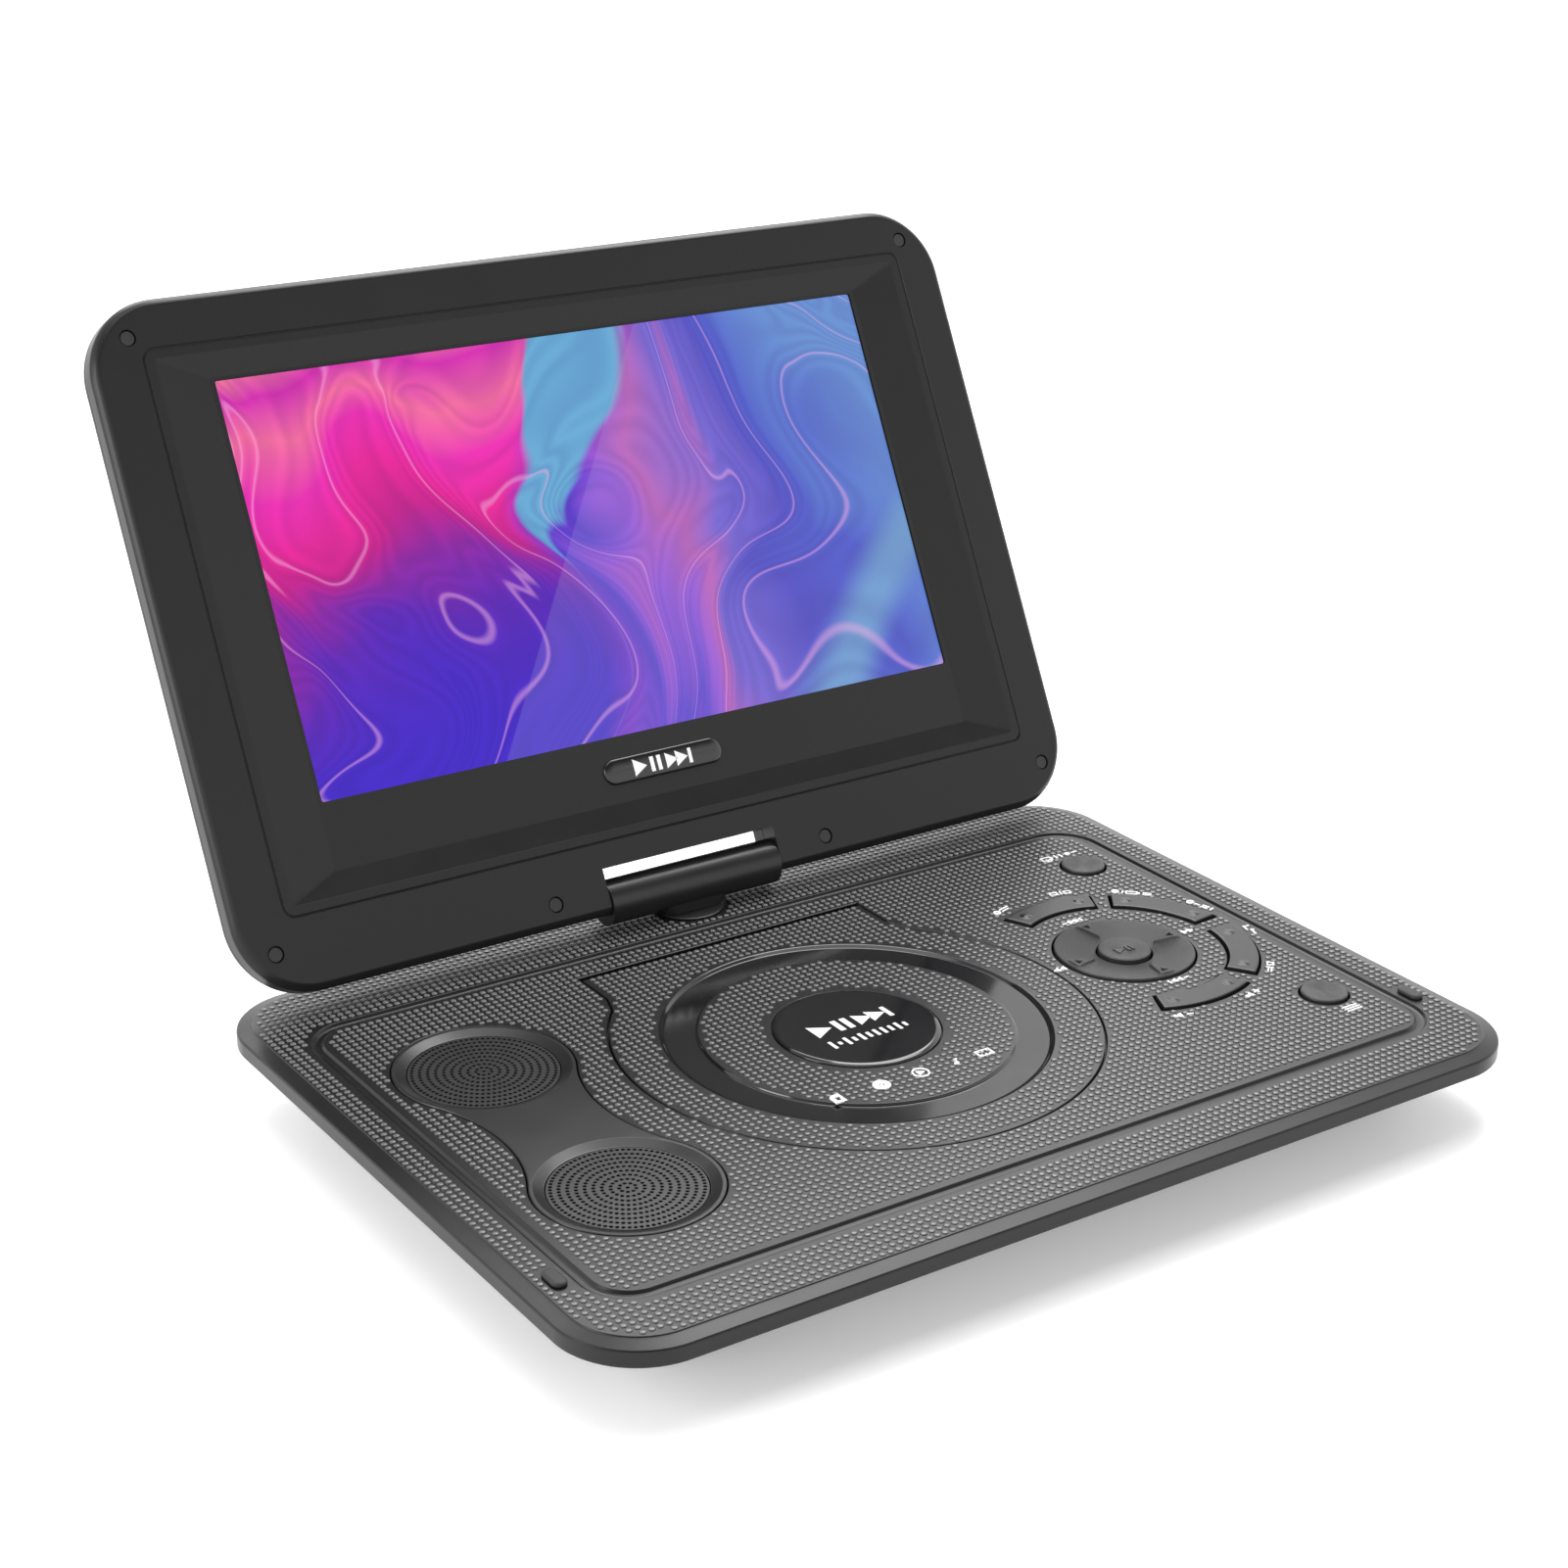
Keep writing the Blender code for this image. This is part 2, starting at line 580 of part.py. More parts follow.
# ---- speakers ----
def speakers():
    """Waisted trim plate with two dished seats, their perforated grilles and the two drivers."""
    step = DECK_Z - 0.7 * MM
    trim = loft("speaker_trim", [
        level(trim_outline(-1.8 * MM), UNDER_Z - 0.2 * MM),
        level(trim_outline(-1.8 * MM), step),
        level(trim_outline(0), step),
        level(trim_outline(0), DECK_Z + TRIM_PROUD)], KEYS)
    bore = GRILLE_R + SEAM_GAP
    mouth = GRILLE_R + SEAT_SLOPE
    grille_top = DECK_Z - GRILLE_SUNK
    base = BOTTOM_CLEAR + 5 * MM
    flange = DECK_Z - 2.6 * MM
    for row, y in (("front", SPEAKER_FRONT_Y), ("rear", SPEAKER_FRONT_Y + SPEAKER_PITCH)):
        seat = turned("seat_" + row, [
            (0, UNDER_Z - 1 * MM), (bore, UNDER_Z - 1 * MM), (bore, grille_top - 0.1 * MM),
            (mouth, DECK_Z + TRIM_PROUD), (mouth, DECK_Z + 1 * MM), (0, DECK_Z + 1 * MM)], sides=36)
        seat.location = (SPEAKER_X, y, 0)
        cut(trim, seat)
        grille = turned("speaker_grille_" + row, [
            (0, UNDER_Z), (GRILLE_R, UNDER_Z), (GRILLE_R, grille_top), (0, grille_top)], MOULD, 32)
        grille.location = (SPEAKER_X, y, 0)
        holes = [circle(2 * MM, ring * GRILLE_R * math.cos(math.tau * (k + 0.3) / count),
                        ring * GRILLE_R * math.sin(math.tau * (k + 0.3) / count), 6)
                 for ring, count in ((0.3, GRILLE_HOLES // 3), (0.72, GRILLE_HOLES)) for k in range(count)]
        pattern = punch("holes_" + row, holes, UNDER_Z - 1 * MM, DECK_Z)
        pattern.location = grille.location
        cut(grille, pattern)
        driver = turned("speaker_driver_" + row, [
            (0, base), (MAGNET_R, base), (MAGNET_R, DECK_Z - 10 * MM),
            (DRIVER_R - 3 * MM, DECK_Z - 5 * MM), (DRIVER_R, DECK_Z - 4 * MM), (DRIVER_R, flange),
            (DRIVER_R - 2 * MM, flange), (8 * MM, DECK_Z - 7 * MM), (0, DECK_Z - 7 * MM)], CONE, 24)
        driver.location = (SPEAKER_X, y, 0)
        carry(base_frame, grille, driver)
    carry(base_frame, trim)


# ---- boards and battery ----
def inner_pieces():
    """Key board under the keys, main board on the floor, and the flat battery under the tray."""
    top = DECK_Z - KEY_DEPTH - 1 * MM
    left = DOOR_X + DOOR_R + 5 * MM
    keys = box("key_board", (left, BUTTON_Y["menu_button"] - 12 * MM, top - BOARD_THICK),
               (BUTTON_X + 12 * MM, BUTTON_Y["screen_button"] + 12 * MM, top), BOARD)
    board_z = BOTTOM_CLEAR + 1.4 * MM
    drive = CHASSIS_HALF + 3 * MM
    inside = PORT_WALL + 1 * MM
    main = box("main_board", (DOOR_X + drive, PORT_FRONT + inside, board_z),
               (PORT_X - SOCKET_DEPTH - 3 * MM, PORT_REAR - inside, board_z + BOARD_THICK), BOARD)
    half = 0.8 * DISC_R
    battery = box("battery_pack", (DOOR_X - DOOR_R + 1 * MM, DOOR_Y - half, BOTTOM_CLEAR + SEAM_GAP),
                  (DOOR_X - drive, DOOR_Y + half, FLOOR_Z - WELL_WALL - 2 * SEAM_GAP), CELL)
    carry(base_frame, keys, main, battery)


# ---- disc drive ----
def disc_drive():
    """Tray under the door, and the drive hung below its keyhole opening."""
    wall = door_outline(-WELL_LEDGE + WELL_WALL, TAB_CLEAR + WELL_WALL)
    flange = door_outline(4 * MM, TAB_CLEAR + WELL_WALL + 0.4 * MM)
    tray = loft("disc_tray", [
        level(door_outline(-WELL_LEDGE - 2 * SEAM_GAP, 0), FLOOR_Z - WELL_WALL),
        level(wall, FLOOR_Z),
        level(wall, UNDER_Z - 1.8 * MM),
        level(flange, UNDER_Z - 1.8 * MM),
        level(flange, UNDER_Z - SEAM_GAP),
    ], MOULD)
    swing = math.hypot(DOOR_AXIS_IN, DOOR_AXIS_DOWN) + SEAM_GAP
    swing_half = TAB_HALF + SEAM_GAP
    cut(tray,
        prism("shelf_room", door_outline(-WELL_LEDGE, 0.3 * MM), DECK_Z - WELL_SHELF, DECK_Z),
        prism("disc_room", circle(RECESS_R, DOOR_X, DOOR_Y, 48), FLOOR_Z, DECK_Z - WELL_SHELF + 1 * MM),
        prism("hub_hole", circle(HUB_R + 1.5 * MM, DOOR_X, DOOR_Y), FLOOR_Z - 5 * MM, FLOOR_Z + 1 * MM),
        box("sled_slot", (DOOR_X - SLED_HALF - 1 * MM, DOOR_Y - DISC_R, FLOOR_Z - 5 * MM),
            (DOOR_X + SLED_HALF + 1 * MM, DOOR_Y, FLOOR_Z + 1 * MM)),
        box("tab_swing_room", (DOOR_X - swing_half, door_axis[1] - 1 * MM, door_axis[2] - swing),
            (DOOR_X + swing_half, door_axis[1] + swing, DECK_Z)),
        prism("pad_room", circle(PAD_R + KEY_GAP, PAD_X, PAD_Y), FLOOR_Z, DECK_Z))
    for k, side in enumerate((-1, 1)):
        x = DOOR_X + side * TAB_HALF * 0.8
        cut(tray, box("lug_room_%d" % k, (x - LUG_WIDTH, door_axis[1] - 4 * MM, FLOOR_Z + 1 * MM),
                      (x + LUG_WIDTH, door_axis[1] + DOOR_AXIS_IN + 0.2 * MM, DECK_Z)))
    chassis_top = FLOOR_Z - WELL_WALL - SEAM_GAP
    chassis_low = chassis_top - CHASSIS_THICK
    front = DOOR_Y - DISC_R - 4 * MM
    rear = DOOR_Y + MOTOR_R + 9 * MM
    chassis = box("drive_chassis", (DOOR_X - CHASSIS_HALF, front, chassis_low),
                  (DOOR_X + CHASSIS_HALF, rear, chassis_top), STEEL)
    room = SLED_HALF + 2 * MM
    cut(chassis,
        box("chassis_slot", (DOOR_X - room, front + 6 * MM, 0), (DOOR_X + room, DOOR_Y, DECK_Z)),
        prism("chassis_hole", circle(MOTOR_R + 1 * MM, DOOR_X, DOOR_Y), 0, DECK_Z))
    disc_z = FLOOR_Z + 1.5 * MM
    motor_low = BOTTOM_CLEAR + 0.5 * MM
    motor = turned("spindle_motor", [
        (0, motor_low), (MOTOR_R, motor_low), (MOTOR_R, FLOOR_Z - 2 * MM),
        (4 * MM, FLOOR_Z - 1.4 * MM), (SPINDLE_R, FLOOR_Z - 1.2 * MM), (SPINDLE_R, disc_z),
        (0, disc_z)], STEEL, 24)
    motor.location = (DOOR_X, DOOR_Y, 0)
    hub_low = FLOOR_Z - 0.4 * MM
    hub_bore = SPINDLE_R + SEAM_GAP
    hub = turned("turntable_hub", [
        (hub_bore, hub_low), (HUB_R, hub_low), (HUB_R, disc_z), (HUB_BOSS_R, disc_z),
        (HUB_BOSS_R, disc_z + 1.4 * MM), (HUB_BOSS_R - 2 * MM, disc_z + 2.6 * MM),
        (hub_bore, disc_z + 2.6 * MM)], MOULD, 24)
    hub.location = (DOOR_X, DOOR_Y, 0)
    rod_z = chassis_low - SEAM_GAP - 2.4 * MM
    near = DOOR_Y - MOTOR_R - 4 * MM
    rod_length = near - front - 1 * MM
    for side, name in ((-1, "guide_rod_left"), (1, "guide_rod_right")):
        bar = rod(name, ROD_R, rod_length, STEEL, "Y", 12)
        bar.location = (DOOR_X + side * ROD_SPREAD, (near + front) / 2, rod_z)
        carry(base_frame, bar)
    screw = rod("feed_screw", SCREW_R, rod_length, STEEL, "Y", 12)
    screw.location = (DOOR_X + SCREW_SPREAD, (near + front) / 2, rod_z)
    feed_half = 3.4 * MM
    feed_length = 12 * MM
    feed = box("feed_motor", (-feed_half, 0, -feed_half), (feed_half, feed_length, feed_half), STEEL)
    feed.location = (DOOR_X + SCREW_SPREAD, near + 1 * MM, rod_z)
    spare = feed_half + KEY_GAP
    room = box("feed_room", (-spare, -KEY_GAP, -spare), (3 * spare, feed_length + KEY_GAP, spare))
    room.location = feed.location
    cut(chassis, room)
    carry(base_frame, tray, chassis, motor, hub, screw, feed)
    sled(near, rod_z, chassis_top)


def sled(near, rod_z, chassis_top):
    """Optical sled on its two rods, with the objective lens on top."""
    reach = ROD_SPREAD + 3.2 * MM
    low = rod_z - 3 * MM
    high = chassis_top - CHASSIS_THICK - 2 * SEAM_GAP
    body = box("laser_sled", (-reach, -SLED_LENGTH, low), (reach, 0, high), MOULD)
    half = SLED_LENS / 2
    add(body, box("sled_tower", (-SLED_HALF, -SLED_LENS - half, rod_z),
                  (SLED_HALF, -SLED_LENS + half, FLOOR_Z - 1.2 * MM)))
    for side in (-1, 1):
        way = rod("rod_way_%d" % side, ROD_R + SEAM_GAP, 2 * SLED_LENGTH, axis="Y", sides=12)
        way.location = (side * ROD_SPREAD, -SLED_LENGTH / 2, rod_z)
        cut(body, way)
    rear = near - 1 * MM
    body.location = (DOOR_X, rear, 0)
    for tool in body.modifiers:
        tool.object.location.x += DOOR_X
        tool.object.location.y += rear
    lens_low = FLOOR_Z - 0.9 * MM
    lens = turned("objective_lens", [
        (0, lens_low), (LENS_R, lens_low), (LENS_R, lens_low + 0.4 * MM),
        (0, FLOOR_Z - 0.1 * MM)], LENS, 20)
    lens.location = (DOOR_X, rear - SLED_LENS, 0)
    carry(base_frame, body, lens)


# ---- disc door ----
def disc_door():
    """Flat round door with a rear tab, a sunk smooth band and a seat for its emblem."""
    frame = empty("door_frame", assembly, door_axis)

    def local(outline, z):
        return [(x - door_axis[0], y - door_axis[1], z - door_axis[2]) for x, y in outline]

    plan = door_outline(0)
    door = loft("disc_door", [local(plan, DECK_Z - DOOR_THICK), local(plan, DECK_Z)], SHELL)
    sunk = DECK_Z - BAND_DEPTH
    band = turned("band_cut", [
        (BAND_INNER + BAND_SLOPE, sunk), (BAND_OUTER - BAND_SLOPE, sunk),
        (BAND_OUTER + BAND_SLOPE, DECK_Z + 1 * MM), (BAND_INNER - BAND_SLOPE, DECK_Z + 1 * MM)], sides=48)
    band.location = (0, DOOR_Y - door_axis[1], -door_axis[2])
    seat = prism("emblem_seat", circle(EMBLEM_R + SEAM_GAP, sides=36), DECK_Z - 0.8 * MM, DECK_Z + 1 * MM)
    seat.location = band.location
    cut(door, band, seat)
    for k, side in enumerate((-1, 1)):
        x = side * TAB_HALF * 0.8
        lug = rod("lug_%d" % k, LUG_R, LUG_WIDTH, axis="X", sides=16)
        lug.location = (x, 0, 0)
        neck = box("lug_neck_%d" % k, (x - 0.47 * LUG_WIDTH, -0.85 * LUG_R, 0.1 * MM),
                   (x + 0.47 * LUG_WIDTH, 0.85 * LUG_R, DOOR_AXIS_DOWN - DOOR_THICK / 2))
        add(door, lug, neck)
    bore = rod("pin_bore", DOOR_PIN_R + SEAM_GAP, 2 * TAB_HALF + 10 * MM, axis="X", sides=12)
    cut(door, bore)
    foot = DECK_Z - 0.5 * MM
    crown = DECK_Z + 0.7 * MM
    emblem = turned("door_emblem", [
        (0, foot), (EMBLEM_R, foot), (EMBLEM_R, DECK_Z + 0.1 * MM), (EMBLEM_R - 1.6 * MM, crown),
        (0, crown)], GLOSS, 36)
    emblem.location = band.location
    carry(frame, door, emblem)
    pin = rod("door_pin", DOOR_PIN_R, 2 * TAB_HALF - 4 * MM, STEEL, "X", 12)
    pin.location = door_axis
    latch = box("door_latch", (-5 * MM, -3 * MM, -3.4 * MM), (5 * MM, 0, 0), MOULD)
    latch.location = (DOOR_X, DOOR_Y - RECESS_R - 5.4 * MM, DECK_Z - DOOR_THICK - SEAM_GAP)
    room = box("latch_room", (-6 * MM, -5.5 * MM, -3.8 * MM), (6 * MM, 0.6 * MM, 5 * MM))
    room.location = latch.location
    cut(bpy.data.objects["disc_tray"], room)
    carry(base_frame, pin, latch, room)


# ---- keys ----
def keys():
    """Round buttons, arc keys, and the rocking direction pad around its centre button."""
    low = DECK_Z - KEY_DEPTH
    for name, y in BUTTON_Y.items():
        top = DECK_Z + BUTTON_PROUD
        button = turned(name, [
            (0, low), (BUTTON_R, low), (BUTTON_R, top - 0.5 * MM), (BUTTON_R - 0.7 * MM, top),
            (0, top)], KEYS, 32)
        button.location = (BUTTON_X, y, 0)
        carry(base_frame, button)
    for name, start, end in ARC_KEYS:
        middle = math.radians((start + end) / 2)
        mid_r = (ARC_IN + ARC_OUT) / 2
        centre = (PAD_X + mid_r * math.cos(middle), PAD_Y + mid_r * math.sin(middle))
        place = (PAD_X - centre[0], PAD_Y - centre[1])
        wide = sector(ARC_IN, ARC_OUT, start, end, *place)
        slim = sector(ARC_IN + KEY_BEVEL, ARC_OUT - KEY_BEVEL, start + BEVEL_TURN, end - BEVEL_TURN, *place)
        key = loft(name, [level(wide, low), level(wide, DECK_Z + PAD_PROUD - KEY_BEVEL),
                          level(slim, DECK_Z + PAD_PROUD)], KEYS)
        key.location = (*centre, 0)
        carry(base_frame, key)
    pad_frame = empty("pad_frame", assembly, (PAD_X, PAD_Y, 0))
    top = DECK_Z + PAD_PROUD
    skirt = low + 2.6 * MM
    pad = turned("direction_pad", [
        (OK_R + KEY_GAP, skirt), (PAD_R, skirt), (PAD_R, top - 0.5 * MM), (PAD_R - 0.7 * MM, top),
        (OK_R + KEY_GAP + 3 * MM, top - 0.1 * MM), (OK_R + KEY_GAP, top - 0.7 * MM)], KEYS, 36)
    gimbal = turned("pad_gimbal", [
        (OK_R + 1.4 * MM, low), (OK_R + 4.4 * MM, low), (OK_R + 4.4 * MM, low + 1.6 * MM),
        (OK_R + 1.4 * MM, low + 1.6 * MM)], MOULD, 20)
    centre = turned("ok_button", [
        (0, low), (OK_R, low), (OK_R, top - 0.4 * MM), (OK_R - 0.6 * MM, top),
        (0, top - 0.4 * MM)], KEYS, 32)
    carry(pad_frame, pad, gimbal, centre)


# ---- swivel and hinge barrel ----
def swivel():
    """Turntable through the deck, its retaining ring, and the barrel that carries the lid's pin."""
    puck_low = DECK_Z + SEAM_GAP - AXIS_Z
    under = UNDER_Z - AXIS_Z
    puck_top = puck_low + PUCK_THICK
    neck = POST_R - 2.4 * MM
    puck = turned("swivel_turntable", [
        (CABLE_BORE, under - 3 * MM), (neck, under - 3 * MM), (neck, under - SEAM_GAP),
        (POST_R, under - SEAM_GAP), (POST_R, puck_low), (PUCK_R, puck_low),
        (PUCK_R, puck_low + PUCK_THICK / 2), (PUCK_R - 0.4 * MM, puck_top),
        (CABLE_BORE, puck_top)], MOULD, 24)
    ring_low = under - 2.4 * MM
    ring_top = under - 2 * SEAM_GAP
    ring = turned("swivel_retainer", [
        (neck + SEAM_GAP, ring_low), (PUCK_R - 1 * MM, ring_low), (PUCK_R - 1 * MM, ring_top),
        (neck + SEAM_GAP, ring_top)], STEEL, 24)
    barrel = rod("hinge_barrel", BARREL_R, 2 * BARREL_HALF, MOULD, "X", 32)
    foot = loft("barrel_foot", [
        level(rounded(12 * MM, 6 * MM, 5 * MM, steps=4), puck_top + SEAM_GAP),
        level(rounded(15 * MM, 6 * MM, 5 * MM, steps=4), -2.5 * MM)], None)
    way = rod("barrel_bore", PIN_R + PIN_CLEAR, 2 * BARREL_HALF + 10 * MM, axis="X", sides=20)
    carry(swivel_frame, puck, ring, barrel, foot, way)
    add(barrel, foot)
    cut(barrel, way)
    pin = rod("hinge_pin", PIN_R, 2 * PIN_HALF, STEEL, "X", 20)
    carry(swivel_frame, pin)


# ---- lid, in its own frame: X across, Y depth behind the hinge line, Z up the face ----
def upright(outline, depth):
    """An outline of (x, height) at one depth behind the bezel's face."""
    return [(x, depth - AXIS_DEPTH, z) for x, z in outline]


def lid_outline(inset):
    """The lid's outline, moved inwards by inset."""
    half = (LID_ABOVE + LID_BELOW) / 2
    return rounded(LID_HALF - inset, half - inset, max(LID_CORNER - inset, 1 * MM), 0, half - LID_BELOW)


def window_outline(side, end, radius):
    """The recessed window's outline, moved outwards by side across and end up and down."""
    low = SCREEN_LOW - WINDOW_LOW - end
    high = SCREEN_LOW + SCREEN_HEIGHT + WINDOW_TOP + end
    return rounded(SCREEN_WIDTH / 2 + WINDOW_SIDE + side, (high - low) / 2, radius, 0, (high + low) / 2)


def lid_prism(name, outline, front, back, material=None):
    """An outline of (x, height) carried from one depth to another."""
    return loft(name, [upright(outline, back), upright(outline, front)], material)


def lid():
    """Bezel with its sloped window frame, back cover, screen, badge, leaf and screw caps."""
    def line(out, radius):
        return window_outline(SLOPE_SIDE + FRAME_LINE + out, SLOPE_END + FRAME_LINE + out, radius)

    bezel = loft("lid_bezel", [
        upright(window_outline(1 * MM, 1 * MM, 1.5 * MM), WINDOW_DEPTH + 1 * MM),
        upright(window_outline(SLOPE_SIDE, SLOPE_END, 2 * MM), SHELL_WALL),
        upright(lid_outline(SHELL_WALL), SHELL_WALL),
        upright(lid_outline(SHELL_WALL), BEZEL_THICK),
        upright(lid_outline(0), BEZEL_THICK),
        upright(lid_outline(0), 2.4 * MM),
        upright(lid_outline(0.9 * MM), 0.7 * MM),
        upright(lid_outline(2.8 * MM), 0),
        upright(line(LINE_WIDTH, 4 * MM), 0),
        upright(line(LINE_WIDTH / 2, 3.6 * MM), 0.4 * MM),
        upright(line(0, 3.2 * MM), 0),
        upright(window_outline(SLOPE_SIDE, SLOPE_END, 1.5 * MM), 0),
        upright(window_outline(0, 0, 0.8 * MM), WINDOW_DEPTH),
    ], SHELL)
    cover = loft("lid_back_cover", [
        *[upright(lid_outline(inset), depth) for depth, inset in reversed(COVER_SECTION)],
        upright(lid_outline(SHELL_WALL), BEZEL_THICK + SEAM_GAP),
        upright(lid_outline(8 * MM), LID_THICK - SHELL_WALL),
    ], SHELL)
    wide = NOTCH_HALF + 10 * MM
    high = NOTCH_TOP + 2.2 * MM
    seam = BEZEL_THICK - AXIS_DEPTH
    add(bezel, box("bezel_hinge_block", (-wide, 1 * MM - AXIS_DEPTH, -LID_BELOW + 2.6 * MM),
                   (wide, seam, high)))
    add(cover, box("cover_hinge_block", (-wide, seam + SEAM_GAP, -LID_BELOW + 3.6 * MM),
                   (wide, seam + 4.6 * MM, high)))

    def picture(border):
        return rounded(SCREEN_WIDTH / 2 + border, SCREEN_HEIGHT / 2 + border, 0.8 * MM, 0,
                       SCREEN_LOW + SCREEN_HEIGHT / 2, 2)

    for skin in (bezel, cover):
        name = skin.name
        cut(skin,
            box(name + "_notch", (-NOTCH_HALF, -2 * LID_THICK, -LID_ABOVE),
                (NOTCH_HALF, 2 * LID_THICK, NOTCH_TOP)),
            rod(name + "_pin_way", PIN_R + PIN_CLEAR, 2 * PIN_HALF + 2 * MM, axis="X", sides=20))
    cut(bezel, lid_prism("picture_opening", picture(0), -5 * MM, BEZEL_THICK))
    caps = {"upper": (LID_HALF - 13.5 * MM, LID_ABOVE - 11.5 * MM),
            "lower": (LID_HALF - 11 * MM, 9.5 * MM),
            "middle": (NOTCH_HALF + 18.8 * MM, 3.3 * MM)}
    for row, (x, z) in caps.items():
        for side, sign in (("left", -1), ("right", 1)):
            name = "screw_cap_%s_%s" % (row, side)
            ring = circle(CAP_R + SEAM_GAP, sign * x, z, 20)
            cut(bezel, lid_prism(name + "_hole", ring, -1 * MM, 2.9 * MM))
            cap = lid_prism(name, circle(CAP_R, sign * x, z, 20), 0.25 * MM, 2 * MM, RUBBER)
            carry(lid_frame, cap)
    face = WINDOW_DEPTH + 1 * MM + SEAM_GAP
    panel = lid_prism("screen_panel", picture(3 * MM), face, face + 4.4 * MM, SCREEN)
    badge_z = SCREEN_LOW - WINDOW_LOW / 2 - 0.6 * MM

    def pill(inset):
        half = BADGE_HEIGHT / 2 - inset
        return rounded(BADGE_WIDTH / 2 - inset, half, half - 0.1 * MM, 0, badge_z, 8)

    badge = loft("lid_badge", [upright(pill(0), WINDOW_DEPTH - SEAM_GAP),
                               upright(pill(0), WINDOW_DEPTH - 0.7 * MM),
                               upright(pill(1.2 * MM), WINDOW_DEPTH - 1.3 * MM)], GLOSS)
    leaf = box("hinge_leaf", (-NOTCH_HALF + SEAM_GAP, 1.6 * MM - AXIS_DEPTH, BARREL_R + 0.6 * MM),
               (NOTCH_HALF - 7 * MM, LID_THICK - 2 * MM - AXIS_DEPTH, NOTCH_TOP - SEAM_GAP), STEEL)
    carry(lid_frame, bezel, cover, panel, badge, leaf)


base_top_cover()
base_bottom_cover()
sockets()
feet_and_pads()
speakers()
inner_pieces()
disc_drive()
disc_door()
keys()
swivel()
lid()
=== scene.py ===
import json
from math import radians

import bmesh
import bpy
import numpy as np
from mathutils.geometry import delaunay_2d_cdt
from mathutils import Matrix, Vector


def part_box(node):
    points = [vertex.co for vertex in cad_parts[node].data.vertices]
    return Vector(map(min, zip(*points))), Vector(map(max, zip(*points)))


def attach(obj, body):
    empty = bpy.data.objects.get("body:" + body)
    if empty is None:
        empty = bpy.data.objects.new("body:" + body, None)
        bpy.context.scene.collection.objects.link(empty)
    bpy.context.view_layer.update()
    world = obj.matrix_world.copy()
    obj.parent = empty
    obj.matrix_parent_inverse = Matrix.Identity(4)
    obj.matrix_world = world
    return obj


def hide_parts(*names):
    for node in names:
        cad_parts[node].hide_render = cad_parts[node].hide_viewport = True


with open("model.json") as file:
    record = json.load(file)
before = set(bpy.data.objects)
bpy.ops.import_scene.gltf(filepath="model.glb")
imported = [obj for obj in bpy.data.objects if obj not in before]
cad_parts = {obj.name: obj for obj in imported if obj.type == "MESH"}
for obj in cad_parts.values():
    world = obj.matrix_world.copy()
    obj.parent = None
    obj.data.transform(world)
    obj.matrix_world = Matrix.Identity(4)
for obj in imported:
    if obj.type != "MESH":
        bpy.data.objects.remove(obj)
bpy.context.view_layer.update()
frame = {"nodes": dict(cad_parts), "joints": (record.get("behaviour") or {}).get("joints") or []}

# ---- the room: camera, a bright horizon and four soft boxes ----
# The backdrop is bright along the horizon and dimmer overhead, so flat tops seen at a low angle
# shine and the upright lid stays dark.  Four soft boxes light the table, the floor behind it, the
# left edges and the speakers' seats.
camera = bpy.data.objects.new("view_camera", bpy.data.cameras.new("view_camera"))
camera.location = (-0.46139, -0.66775, 0.41439)
camera.rotation_euler = (radians(68.011), radians(-0.744), radians(-34.218))
camera.data.lens = 67.08
camera.data.clip_start = 0.01
bpy.context.scene.collection.objects.link(camera)
bpy.context.scene.camera = camera
bpy.context.scene.view_settings.view_transform = "Standard"

sky = bpy.data.worlds.new("bright_horizon")
sky.use_nodes = True
bpy.context.scene.world = sky


